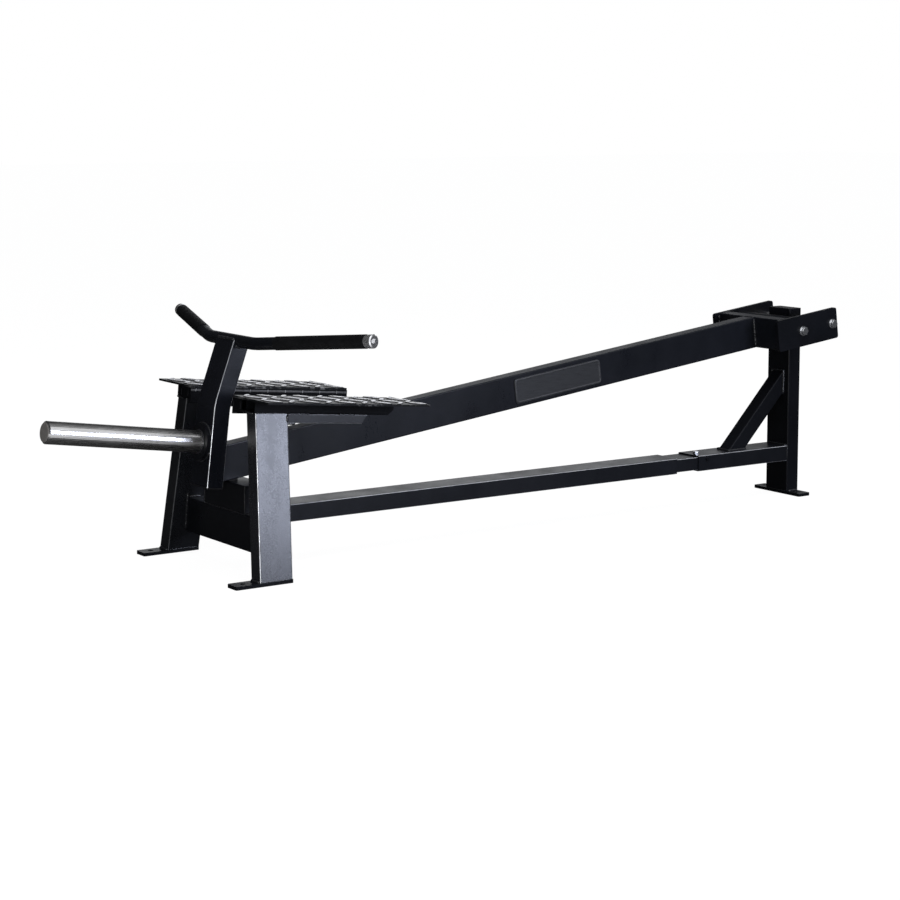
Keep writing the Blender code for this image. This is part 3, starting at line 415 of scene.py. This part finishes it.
def bead(bm, pts, r=0.0030, closed=False, pitch=0.0042, step=0.0013, sides=8):
    """A rippled weld bead swept along a path."""
    line, total = resample(pts, step, closed)
    rings, n = [], len(line)
    up = None
    for k, (p, s) in enumerate(line):
        q = line[(k + 1) % n][0] if (closed or k < n - 1) else p
        o = line[k - 1][0] if (closed or k > 0) else p
        t = (q - o).normalized()
        if up is None:
            up = t.orthogonal().normalized()
        up = (up - t * up.dot(t)).normalized()
        side = t.cross(up)
        ripple = 1.0 + 0.13 * abs(math.sin(math.pi * s / pitch)) - 0.06
        ripple *= 1.0 + 0.10 * noise.noise(p * 140.0)
        if not closed:
            e = min(s, total - s) / (r * 1.4)
            if e < 1.0:
                ripple *= math.sqrt(max(0.08, 1.0 - (1.0 - e) ** 2))
        rr = r * ripple
        drift = Vector((noise.noise(p * 90.0), noise.noise(p * 90.0 + Vector((7, 3, 1))), noise.noise(p * 90.0 + Vector((2, 9, 5))))) * (r * 0.10)
        rings.append([bm.verts.new(p + drift + (up * math.cos(2 * math.pi * j / sides) + side * math.sin(2 * math.pi * j / sides)) * rr)
                      for j in range(sides)])
    m = len(rings)
    for k in range(m if closed else m - 1):
        a, b = rings[k], rings[(k + 1) % m]
        if closed and k == m - 1:
            # meet the first ring at its nearest turn
            off = min(range(sides), key=lambda d: sum((a[j].co - b[(j + d) % sides].co).length for j in range(sides)))
            b = [b[(j + off) % sides] for j in range(sides)]
        for j in range(sides):
            bm.faces.new((a[j], a[(j + 1) % sides], b[(j + 1) % sides], b[j]))
    if not closed:
        for ring in (rings[0], rings[-1]):
            bm.faces.new(ring)


def rect_path(c, u, v, hu, hv, r=CORNER, n=4):
    pts = []
    for cu, cv, a0 in ((hu - r, hv - r, 0), (-hu + r, hv - r, 90), (-hu + r, -hv + r, 180), (hu - r, -hv + r, 270)):
        for i in range(n + 1):
            a = math.radians(a0 + 90.0 * i / n)
            pts.append(c + u * (cu + r * math.cos(a)) + v * (cv + r * math.sin(a)))
    return pts


X, Y, Z = Vector((1, 0, 0)), Vector((0, 1, 0)), Vector((0, 0, 1))
SIDES = (("l", -1.0), ("r", 1.0))

# ----------------------------------------------------------------------- welds
bearer_low = DECK_T + GAP + BEARER_H
for tag, s in SIDES:
    bm = bmesh.new()
    # leg to foot plate: full beads front and back, a thin dressed seam on the flush sides
    c = leg_centre(FOOT_T, s)
    hy = TUBE_T / 2 / math.cos(splay)
    for dx in (-1, 1):
        x = c + X * dx * (TUBE_W / 2 + (0.0012 if dx < 0 else -0.0004)) + Z * 0.0012
        bead(bm, [x - Y * (hy - 0.003), x + Y * (hy - 0.003)], 0.0034 if dx < 0 else 0.0014)
    for dy in (-1, 1):
        y = c + Y * dy * (hy - 0.0010) + Z * 0.0004
        bead(bm, [y - X * (TUBE_W / 2 - 0.004), y + X * (TUBE_W / 2 - 0.005)], 0.0013)
    # cross-member to the leg's inner face: front, top and bottom edges
    n = Vector((0, math.cos(splay), s * math.sin(splay)))
    inward = Vector((0, -s * math.cos(splay), -math.sin(splay)))

    def inner(x, z, out=0.0):
        return at(x, s * (LEG_Y0 - LEG_SPLAY * z - TUBE_T / 2 / math.cos(splay)), z) + inward * out

    fx = CROSS_X[0] - 0.0010
    bead(bm, [inner(fx, CROSS_Z[0] + 0.004, 0.0012), inner(fx, CROSS_Z[1] + 0.010, 0.0012)], 0.0038)
    bead(bm, [inner(CROSS_X[0] + 0.004, CROSS_Z[1] + 0.0008, 0.0010), inner(CROSS_X[1] - 0.005, CROSS_Z[1] + 0.0008, 0.0010)], 0.0030)
    bead(bm, [inner(CROSS_X[0] + 0.004, CROSS_Z[0] - 0.0008, 0.0010), inner(CROSS_X[1] - 0.005, CROSS_Z[0] - 0.0008, 0.0010)], 0.0030)
    # leg top to bearer, both sides
    y_mid = s * (LEG_Y0 - LEG_SPLAY * 0.362)
    xl = LEG_X0 + LEG_LEAN * 0.362
    for dy in (-1, 1):
        y = y_mid + dy * (TUBE_T / 2 - 0.0006)
        bead(bm, [deck_point(xl - 0.036, y, bearer_low), deck_point(xl + 0.036, y, bearer_low)], 0.0015)
    bead(bm, [deck_point(xl - 0.0410, y_mid - 0.016, bearer_low + 0.001), deck_point(xl - 0.0410, y_mid + 0.016, bearer_low + 0.001)], 0.0026)
    # bracket tube to the back of the leg, and to the bearer above it
    top = bearer_low + GAP
    yb = s * (LEG_Y0 - LEG_SPLAY * 0.345)
    zb = 0.345
    back_x = LEG_X0 + LEG_LEAN * zb + TUBE_W / 2 / math.cos(math.atan(LEG_LEAN))
    for dy in (-1, 1):
        y = yb + dy * (TUBE_T / 2 - 0.0002)
        bead(bm, [deck_point(back_x + 0.0014, y, top + 0.003), deck_point(back_x + 0.0002, y, top + BRACKET_H - 0.002)], 0.0022)
        bead(bm, [deck_point(back_x + 0.006, y, top - 0.0002), deck_point(back_x + 0.060, y, top - 0.0002)], 0.0016)
        bead(bm, [deck_point(back_x + 0.0016, y - dy * 0.003, top + BRACKET_H + 0.0012), deck_point(back_x + 0.024, y - dy * 0.003, top + BRACKET_H + 0.0008)], 0.0030)
        bead(bm, [deck_point(back_x + 0.130, y, top - 0.0002), deck_point(back_x + 0.172, y, top - 0.0002)], 0.0016)
    bead(bm, [deck_point(back_x, yb - 0.017, top + BRACKET_H + 0.0008), deck_point(back_x, yb + 0.017, top + BRACKET_H + 0.0008)], 0.0024)
    # cross support between the bearer and the inner edge
    bu = bmesh.new()
    y0 = s * (abs(y_mid) - TUBE_T / 2 - GAP)
    y1 = s * (DECK_Y[0] + EDGE_T + 0.0012)
    for dx in (-1, 1):
        x = 0.0358 + dx * 0.0205
        bead(bu, [deck_point(x, y0 - s * 0.001, DECK_T + 0.005), deck_point(x, y0 - s * 0.001, bearer_low - 0.003)], 0.0024)
    bead(bu, [deck_point(0.0358 - 0.016, y0 - s * 0.001, bearer_low + 0.0006), deck_point(0.0358 + 0.016, y0 - s * 0.001, bearer_low + 0.0006)], 0.0022)
    for dx in (-1, 1):
        x = 0.0358 + dx * 0.0205
        bead(bu, [deck_point(x, y1, DECK_T + 0.005), deck_point(x, y1, bearer_low - 0.003)], 0.0022)
    # stitch welds holding the tread plate to the bearer and the edge bar
    for x in (0.075, 0.175, 0.275, 0.345):
        for dy in (-1, 1):
            y = y_mid + dy * (TUBE_T / 2 + 0.0006)
            bead(bu, [deck_point(x, y, DECK_T + 0.0012), deck_point(x + 0.026, y, DECK_T + 0.0012)], 0.0022)
        y = s * (DECK_Y[0] + EDGE_T + 0.0006)
        bead(bu, [deck_point(x + 0.012, y, DECK_T + 0.0012), deck_point(x + 0.040, y, DECK_T + 0.0012)], 0.0022)
    # the welds under the decks take the painted-shade coat
    piece("welds_deck_" + tag, bu, "frame", COAT_SHADE_UNDER, 0)
    piece("welds_front_" + tag, bm, "frame", WELD_HIGHLIGHT_COAT, 0)

bm = bmesh.new()
# rail to cross-member
for dy in (-1, 1):
    bead(bm, [at(CROSS_X[1] + 0.0012, dy * (TUBE_W / 2 + 0.0004), RAIL_TOP - 0.005),
              at(CROSS_X[1] + 0.0012, dy * (TUBE_W / 2 + 0.0004), RAIL_TOP - TUBE_T + 0.005)], 0.0032)
bead(bm, [at(CROSS_X[1] + 0.0010, -0.035, RAIL_TOP - TUBE_T - 0.0010), at(CROSS_X[1] + 0.0010, 0.035, RAIL_TOP - TUBE_T - 0.0010)], 0.0032)
# rest block on the cross-member, its end plates and its foot on the rail
bead(bm, [at(CROSS_X[0] + 0.0006, -REST_HALF + 0.004, RAIL_TOP + 0.0001), at(CROSS_X[0] + 0.0006, REST_HALF - 0.004, RAIL_TOP + 0.0001)], 0.0013)
bead(bm, [at(REST_X[1] + 0.0012, -0.037, RAIL_TOP + 0.0012), at(REST_X[1] + 0.0012, 0.037, RAIL_TOP + 0.0012)], 0.0030)
rest_c, rest_h, rest_w = sum(REST_X) / 2, REST_TOP - RAIL_TOP - GAP, REST_X[1] - REST_X[0]
for dy in (-1, 1):
    y = dy * (REST_HALF + 0.0012)
    bead(bm, [at(CROSS_X[0] + 0.004, y, RAIL_TOP + 0.0012), at(CROSS_X[1] - 0.003, y, RAIL_TOP + 0.0012)], 0.0034)
    y = dy * (REST_HALF - REST_END_T - GAP / 2)
    bead(bm, rect_path(at(rest_c, y, RAIL_TOP + GAP + rest_h / 2), X, Z, rest_w / 2 - 0.0005, rest_h / 2 - 0.0005), 0.0010, closed=True)
    y = dy * (TUBE_W / 2 + 0.0006)
    bead(bm, [at(CROSS_X[1] + 0.004, y - dy * 0.0012, RAIL_TOP + 0.0001), at(REST_X[1] - 0.001, y - dy * 0.0012, RAIL_TOP + 0.0001)], 0.0014)
# the front rail's end on the splice sleeve
bead(bm, [at(RAIL_SPLIT0 + 0.0008, -0.0365, RAIL_TOP - 0.0022), at(RAIL_SPLIT0 + 0.0008, 0.0365, RAIL_TOP - 0.0022)], 0.0019)
piece("welds_rest_block", bm, "frame", WELD_HIGHLIGHT_COAT, 0)

bm = bmesh.new()
# rear post: rail, foot, brace, housing
px = POST_X[0]
for z, off in ((RAIL_TOP, 0.0012), (RAIL_TOP - TUBE_T, -0.0012)):
    bead(bm, [at(px - 0.0012, -0.035, z + off), at(px - 0.0012, 0.035, z + off)], 0.0032)
for dy in (-1, 1):
    y = dy * (TUBE_W / 2 - 0.0008)
    bead(bm, [at(px - 0.0002, y, RAIL_TOP - 0.004), at(px - 0.0002, y, RAIL_TOP - TUBE_T + 0.004)], 0.0020)
    y = dy * (TUBE_W / 2 + 0.0012)
    bead(bm, [at(px + 0.004, y, FOOT_T + 0.0012), at(POST_X[1] - 0.004, y, FOOT_T + 0.0012)], 0.0034)
for x in (px + 0.0006, POST_X[1] - 0.0006):
    bead(bm, [at(x, -0.036, FOOT_T + 0.0002), at(x, 0.036, FOOT_T + 0.0002)], 0.0015)
tan_b = math.tan(BRACE_SLOPE)
xu = BRACE_A[0] - (BRACE_A[1] - RAIL_TOP) / tan_b
xd = xu + BRACE_D / math.sin(BRACE_SLOPE)
bead(bm, rect_path(at((xu + xd) / 2, 0, RAIL_TOP + 0.0010), X, Y, (xd - xu) / 2 + 0.0014, 0.0214), 0.0032, closed=True)
zu = BRACE_A[1] + (px - BRACE_A[0]) * tan_b
zd = zu - BRACE_D / math.cos(BRACE_SLOPE)
bead(bm, rect_path(at(px - 0.0010, 0, (zu + zd) / 2), Z, Y, (zu - zd) / 2 + 0.0014, 0.0214), 0.0033, closed=True)
zp = arm_point(PIVOT_X).z
for dz in (-1, 1):
    bead(bm, [at(px - 0.0016, -0.037, zp + dz * 0.0110), at(px - 0.0016, 0.037, zp + dz * 0.0110)], 0.0040)
piece("welds_rear", bm, "frame", WELD_HIGHLIGHT_COAT, 0)

bm = bmesh.new()
# arm to handle post
rear_face = at(HP_REF[0], 0, HP_REF[1]) + lo_back * (TUBE_T + GAP)


def on_post(y, up):
    p = arm_point(ARM_X0, y, up)
    return p + arm_dir * ((rear_face - p).dot(lo_back) / arm_dir.dot(lo_back))


loop = []
for cy, cu, a0 in ((0.0158, 0.0358, 0), (-0.0158, 0.0358, 90), (-0.0158, -0.0358, 180), (0.0158, -0.0358, 270)):
    for i in range(5):
        a = math.radians(a0 + 22.5 * i)
        loop.append(on_post(cy + 0.0050 * math.cos(a), cu + 0.0050 * math.sin(a)) + arm_dir * 0.0010)
bead(bm, loop, 0.0034, closed=True)
# arm to the cross tube: upright beads on the sides, thin seams above and below
joint = arm_point(YOKE_CROSS_X) - arm_dir * 0.0012
for dy in (-1, 1):
    y = Y * dy * (TUBE_T / 2 + 0.0010)
    bead(bm, [joint + y - arm_up * 0.036, joint + y + arm_up * 0.036], 0.0036)
for du in (-1, 1):
    u = arm_up * du * (TUBE_W / 2 - 0.0006) + arm_dir * 0.0010
    bead(bm, [joint + u - Y * 0.0165, joint + u + Y * 0.0165], 0.0017)
# cross tube to the yoke plates
for dy in (-1, 1):
    for x in (-0.0010, YOKE_CROSS_T + 0.0010):
        p = arm_point(YOKE_CROSS_X) + arm_dir * x + Y * dy * (YOKE_Y[0] - 0.0010)
        bead(bm, [p - arm_up * 0.036, p + arm_up * 0.036], 0.0033)
    for du in (-1, 1):
        p = arm_point(YOKE_CROSS_X) + Y * dy * (YOKE_Y[0] - 0.0002) + arm_up * du * (TUBE_W / 2 - 0.0008)
        bead(bm, [p + arm_dir * 0.004, p + arm_dir * (YOKE_CROSS_T - 0.004)], 0.0016)
# handlebar in its saddle on the post
bead(bm, [at(BAR_C[0] - 0.0148, -0.0365, 0.5100), at(BAR_C[0] - 0.0148, 0.0365, 0.5100)], 0.0036)
bead(bm, [at(BAR_C[0] + 0.0150, -0.0365, 0.4990), at(BAR_C[0] + 0.0150, 0.0365, 0.4990)], 0.0036)
for dy in (-1, 1):
    arc = [at(BAR_C[0] + (BAR_R + 0.0006) * math.sin(a), dy * 0.0405, BAR_C[1] - (BAR_R + 0.0006) * math.cos(a))
           for a in [math.radians(-62 + 124 * i / 12) for i in range(13)]]
    bead(bm, arc, 0.0022)
# collar and pin
face_pt = at(HP_REF[0], 0, HP_REF[1]) - lo_back * GAP
pin_ref = at(SLEEVE_X, 0, SLEEVE_Z)
seat = pin_ref + pin_dir * ((face_pt - pin_ref).dot(lo_back) / pin_dir.dot(lo_back))
side_u = Y
side_v = pin_dir.cross(Y).normalized()


def ring(radius, plane_pt, normal, lift, a0=0.0, a1=360.0, n=48):
    out = []
    for i in range(n + (0 if a1 - a0 >= 360.0 else 1)):
        a = math.radians(a0 + (a1 - a0) * i / n)
        p = seat + (side_u * math.cos(a) + side_v * math.sin(a)) * radius
        p = p + pin_dir * ((plane_pt - p).dot(normal) / pin_dir.dot(normal))
        out.append(p + pin_dir * lift)
    return out


for a0 in (27.0, 207.0):
    bead(bm, ring(COLLAR_R + 0.0008, face_pt, lo_back, 0.0010, a0, a0 + 126.0, 40), 0.0027)
bead(bm, ring(SLEEVE_R + 0.0006, seat + pin_dir * COLLAR_T, pin_dir, 0.0006), 0.0019, closed=True)
piece("welds_arm", bm, "arm", WELD_HIGHLIGHT_COAT, 0)


# ---------------------------------------------------------------- tread pattern
def tear(bm, layer, c, along, across, up, length, width, height, n=12, m=6):
    """One raised lens-shaped bar, with its crown height kept for the wear and painted highlight."""
    grid = []
    for i in range(n + 1):
        t = -1.0 + 2.0 * i / n
        w = math.sqrt(max(0.0, 1.0 - abs(t) ** 2.2)) * (1.0 - 0.15 * abs(t))
        row = []
        for j in range(m + 1):
            q = -1.0 + 2.0 * j / m
            h = height * (1.0 - t * t) ** 0.35 * (1.0 - abs(q) ** 2.4)
            v = bm.verts.new(c + along * (t * length / 2) + across * (q * width / 2 * w) + up * (h - 0.00012))
            v[layer] = (1.0 - abs(q) ** 1.6) * (1.0 - t ** 4)
            row.append(v)
        grid.append(row)
    for i in range(n):
        for j in range(m):
            bm.faces.new((grid[i][j], grid[i + 1][j], grid[i + 1][j + 1], grid[i][j + 1]))
    # flat underside, sunk a little in the plate
    rim = grid[0] + [r[-1] for r in grid[1:-1]] + grid[-1][::-1] + [r[0] for r in grid[-2:0:-1]]
    low = [bm.verts.new(v.co - up * 0.0006) for v in rim]
    for k in range(len(rim)):
        bm.faces.new((rim[k], rim[(k + 1) % len(rim)], low[(k + 1) % len(rim)], low[k]))
    bm.faces.new(low)


w_deck = (DECK_X[1] - DECK_X[0]) / math.cos(deck_slope)
h_deck = DECK_Y[1] - DECK_Y[0]
COLS, ROWS = 9, 4
PITCH_U, PITCH_V = w_deck / COLS, h_deck / ROWS
for tag, s in SIDES:
    bm = bmesh.new()
    layer = bm.verts.layers.float.new("crown")
    for i in range(COLS):
        for j in range(ROWS):
            a = math.radians(45.0 if (i + j) % 2 else -45.0)
            ca, sa = math.cos(a), math.sin(a)
            u, v = (i + 0.5) * PITCH_U, (j + 0.5) * PITCH_V
            reach = min((u - 0.003) / abs(ca), (w_deck - 0.003 - u) / abs(ca), (v - 0.003) / abs(sa), (h_deck - 0.003 - v) / abs(sa))
            half = min(0.0240, reach)
            c = deck_point(DECK_X[0], s * (DECK_Y[0] + v)) + deck_dir * u
            along = deck_dir * ca + Y * (s * sa)
            across = deck_up.cross(along).normalized()
            tear(bm, layer, c, along, across, deck_up, 2 * half, 0.0118, 0.0036, 18, 8)
    bmesh.ops.recalc_face_normals(bm, faces=bm.faces)
    piece("tread_bars_" + tag, bm, "frame", TREAD, 60)

    # folded lip of the tread plate on the inner edge, with the cut ends of its pattern
    bm = bmesh.new()
    layer = bm.verts.layers.float.new("crown")
    up = Vector((0, -s, 0))
    x0, x1 = DECK_X[0] + 0.003, DECK_X[1] - 0.003
    n = 160
    prof = [(0.0066, -0.0004), (0.0072, 0.0009), (0.0080, 0.0013), (0.0122, 0.0013), (0.0130, 0.0009), (0.0136, -0.0004)]
    rings = []
    for k in range(n + 1):
        x = x0 + (x1 - x0) * k / n
        ring_v = []
        for d, o in prof:
            wave = 0.00025 * noise.noise(Vector((x * 60.0, d * 400.0, s)))
            v = bm.verts.new(deck_point(x, s * DECK_Y[0], d) + up * (o + wave))
            # the lip's flat face gets a little of the painted crown highlight
            v[layer] = 0.55 if 0.0075 < d < 0.0127 else 0.0
            ring_v.append(v)
        rings.append(ring_v)
    for a, b in zip(rings, rings[1:]):
        for j in range(len(prof)):
            bm.faces.new((a[j], a[(j + 1) % len(prof)], b[(j + 1) % len(prof)], b[j]))
    bm.faces.new(rings[0])
    bm.faces.new(rings[-1][::-1])
    x = x0 + 0.012
    while x < x1 - 0.004:
        c = deck_point(x, s * DECK_Y[0], 0.0101) + up * 0.0012
        tear(bm, layer, c, deck_up, up.cross(deck_up).normalized(), up, 0.0088, 0.0044, 0.0011, 8, 4)
        x += PITCH_U
    piece("deck_lip_" + tag, bm, "frame", LIP, 50)

# ------------------------------------------------------------------ blank plate
bm = bmesh.new()
badge_c = arm_point(0.957, -TUBE_T / 2 - GAP - 0.0020)
path = rect_path(badge_c, arm_dir, arm_up, 0.262 / 2 - 0.0032, 0.060 / 2 - 0.0032, 0.0055, 10)
rings = []
for k, p in enumerate(path):
    a, b = path[k - 1], path[(k + 1) % len(path)]
    t = (b - a).normalized()
    out = t.cross(Y).normalized()
    prof = [(-0.0022, 0.0004), (-0.0017, -0.0006), (-0.0009, -0.0010), (0.0009, -0.0010), (0.0017, -0.0006), (0.0022, 0.0004)]
    rings.append([bm.verts.new(p + out * u + Y * v) for u, v in prof])
for k in range(len(rings)):
    a, b = rings[k], rings[(k + 1) % len(rings)]
    for j in range(len(a)):
        bm.faces.new((a[j], a[(j + 1) % len(a)], b[(j + 1) % len(b)], b[j]))
piece("blank_plate_rim", bm, "arm", RIM, 50)

# -------------------------------------------------------- thread on the stop bolt
bm = bmesh.new()
stop = arm_point(STOP_X)
base = stop + Y * (YOKE_Y[1] + 0.0146)
turns, steps, prev = 1, 32, None
pitch, r0, length = 0.0018, 0.0080, 0.0
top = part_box("stop_bolt")[1][1] - 0.0006
n_turn = max(1, int((top - base.y) / pitch))
prev = None
for k in range(n_turn * steps + 1):
    a = 2 * math.pi * k / steps
    rad = arm_dir * math.cos(a) + arm_up * math.sin(a)
    c = base + Y * (pitch * k / steps)
    tri = [c + rad * (r0 - 0.0004), c + rad * (r0 + 0.0005) + Y * (pitch * 0.30), c + rad * (r0 - 0.0004) + Y * (pitch * 0.60)]
    cur = [bm.verts.new(v) for v in tri]
    if prev:
        for j in range(3):
            bm.faces.new((prev[j], prev[(j + 1) % 3], cur[(j + 1) % 3], cur[j]))
    else:
        bm.faces.new(cur)
    prev = cur
bm.faces.new(prev[::-1])
if n_turn > 1:
    piece("stop_bolt_thread", bm, "arm", ZINC, 50)
else:
    bm.free()

# ---------------------------------------------------------------- floor, lights
WHITE = 1.0


def stage_material():
    m = bpy.data.materials.new("stage_floor")
    m.use_nodes = True
    nt = m.node_tree
    nt.nodes.clear()
    out = nt.nodes.new("ShaderNodeOutputMaterial")
    path = nt.nodes.new("ShaderNodeLightPath")
    seen = nt.nodes.new("ShaderNodeEmission")
    seen.inputs["Color"].default_value = (1, 1, 1, 1)
    seen.inputs["Strength"].default_value = 0.965
    lit = nt.nodes.new("ShaderNodeBsdfDiffuse")
    lit.inputs["Color"].default_value = (0.09, 0.09, 0.09, 1)
    both = nt.nodes.new("ShaderNodeAddShader")
    nt.links.new(seen.outputs[0], both.inputs[0])
    nt.links.new(lit.outputs[0], both.inputs[1])
    # what the object sees of the floor: a lit apron on the near side, dark elsewhere
    dark = nt.nodes.new("ShaderNodeAddShader")
    soft = nt.nodes.new("ShaderNodeBsdfDiffuse")
    soft.inputs["Color"].default_value = (0.06, 0.06, 0.06, 1)
    glow = nt.nodes.new("ShaderNodeEmission")
    glow.inputs["Color"].default_value = (0.95, 0.97, 1.0, 1)
    where = nt.nodes.new("ShaderNodeNewGeometry")
    split = nt.nodes.new("ShaderNodeSeparateXYZ")
    nt.links.new(where.outputs["Position"], split.inputs[0])

    def slope(axis, a, b, top=1.0):
        r = nt.nodes.new("ShaderNodeMapRange")
        r.interpolation_type = "SMOOTHSTEP"
        for k, v in (("From Min", a), ("From Max", b), ("To Min", 0.0), ("To Max", top)):
            r.inputs[k].default_value = v
        nt.links.new(split.outputs[axis], r.inputs["Value"])
        return r.outputs["Result"]

    def combine(op, a, b):
        n = nt.nodes.new("ShaderNodeMath")
        n.operation = op
        nt.links.new(a, n.inputs[0])
        nt.links.new(b, n.inputs[1])
        return n.outputs[0]

    near = combine("MULTIPLY", slope("Y", -0.30, -0.62, 1.15), slope("X", -0.20, -0.75))
    far = combine("MULTIPLY", slope("Y", -1.80, -2.90, 0.29), slope("X", 1.50, 0.55))
    rest = combine("MULTIPLY", slope("Y", -0.30, -1.20, 0.10), slope("X", 1.90, 0.50))
    nt.links.new(combine("ADD", near, combine("ADD", far, rest)), glow.inputs["Strength"])
    nt.links.new(soft.outputs[0], dark.inputs[0])
    nt.links.new(glow.outputs[0], dark.inputs[1])
    mix = nt.nodes.new("ShaderNodeMixShader")
    nt.links.new(path.outputs["Is Camera Ray"], mix.inputs[0])
    nt.links.new(dark.outputs[0], mix.inputs[1])
    nt.links.new(both.outputs[0], mix.inputs[2])
    nt.links.new(mix.outputs[0], out.inputs["Surface"])
    return m


bm = bmesh.new()
bmesh.ops.create_grid(bm, x_segments=8, y_segments=8, size=30.0)
me = bpy.data.meshes.new("studio_floor")
bm.to_mesh(me)
bm.free()
floor = bpy.data.objects.new("studio_floor", me)
scene.collection.objects.link(floor)
me.materials.append(stage_material())
floor.location = (0, 0, -0.0002)

world = bpy.data.worlds.new("studio")
scene.world = world
world.use_nodes = True
nt = world.node_tree
nt.nodes.clear()
w_out = nt.nodes.new("ShaderNodeOutputWorld")
path = nt.nodes.new("ShaderNodeLightPath")
white = nt.nodes.new("ShaderNodeBackground")
white.inputs["Color"].default_value = (1, 1, 1, 1)
white.inputs["Strength"].default_value = WHITE
dim = nt.nodes.new("ShaderNodeBackground")
coord = nt.nodes.new("ShaderNodeTexCoord")


def toward(direction, a, b, value):
    dot = nt.nodes.new("ShaderNodeVectorMath")
    dot.operation = "DOT_PRODUCT"
    nt.links.new(coord.outputs["Generated"], dot.inputs[0])
    dot.inputs[1].default_value = Vector(direction).normalized()
    r = nt.nodes.new("ShaderNodeMapRange")
    r.interpolation_type = "SMOOTHSTEP"
    for k, v in (("From Min", a), ("From Max", b), ("To Min", 0.0), ("To Max", value)):
        r.inputs[k].default_value = v
    nt.links.new(dot.outputs["Value"], r.inputs["Value"])
    return r.outputs["Result"]


def plus(a, b):
    n = nt.nodes.new("ShaderNodeMath")
    n.operation = "ADD"
    for i, v in enumerate((a, b)):
        if isinstance(v, float):
            n.inputs[i].default_value = v
        else:
            nt.links.new(v, n.inputs[i])
    return n.outputs[0]


level = plus(0.035, toward((0.52, 0.85, 0.045), 0.958, 0.994, 1.10))    # low pale wall behind
level = plus(level, toward((0.1, -0.2, 1.0), 0.60, 1.0, 0.30))        # ceiling
level = plus(level, toward((-0.25, -1.0, 0.42), 0.72, 0.95, 0.95))    # pale wall in front
level = plus(level, toward((0.42, -0.64, 0.64), 0.900, 0.975, 1.05))   # and its upper part to the right
nt.links.new(level, dim.inputs["Strength"])
dim.inputs["Color"].default_value = (0.95, 0.97, 1.0, 1)
w_mix = nt.nodes.new("ShaderNodeMixShader")
nt.links.new(path.outputs["Is Camera Ray"], w_mix.inputs[0])
nt.links.new(dim.outputs[0], w_mix.inputs[1])
nt.links.new(white.outputs[0], w_mix.inputs[2])
nt.links.new(w_mix.outputs[0], w_out.inputs["Surface"])


def area(name, loc, target, size_x, size_y, power, colour=(1, 1, 1), mirrored=True):
    d = bpy.data.lights.new(name, "AREA")
    d.shape = "RECTANGLE"
    d.size, d.size_y = size_x, size_y
    d.energy = power
    d.color = colour
    o = bpy.data.objects.new(name, d)
    scene.collection.objects.link(o)
    o.location = loc
    o.rotation_mode = "QUATERNION"
    o.rotation_quaternion = (Vector(target) - Vector(loc)).to_track_quat("-Z", "Y")
    o.visible_camera = False
    o.visible_glossy = mirrored
    return o


area("key_panel", (1.11, -3.30, 0.80), (-0.64, -0.20, 0.25), 0.95, 0.85, 49.0, (0.75, 0.81, 1.0))
area("overhead", (0.0, -0.4, 3.2), (0.0, 0.0, 0.0), 3.0, 1.6, 58.0, mirrored=False)
area("front_low", (-2.1, -1.5, 0.32), (-0.6, 0.0, 0.20), 0.5, 0.62, 9.0)
area("rear_rim", (3.4, 1.0, 1.9), (0.6, 0.0, 0.3), 1.2, 0.9, 12.0)

# ---------------------------------------------------------------------- camera
cam_data = bpy.data.cameras.new("camera")
cam_data.sensor_width = 36.0
cam_data.lens = 2201.05 / 900.0 * 36.0
cam_data.shift_y = -(450.0 - 367.904) / 900.0
cam_data.clip_start = 0.1
cam_data.clip_end = 200.0
cam = bpy.data.objects.new("camera", cam_data)
scene.collection.objects.link(cam)
cam.location = (-2.2661 - OX, -4.2483, 1.0243)
cam.rotation_euler = (math.pi / 2 - 0.12, 0.0, -0.6019)
scene.camera = cam
scene.view_settings.view_transform = "Standard"
scene.view_settings.look = "None"

bpy.context.view_layer.update()
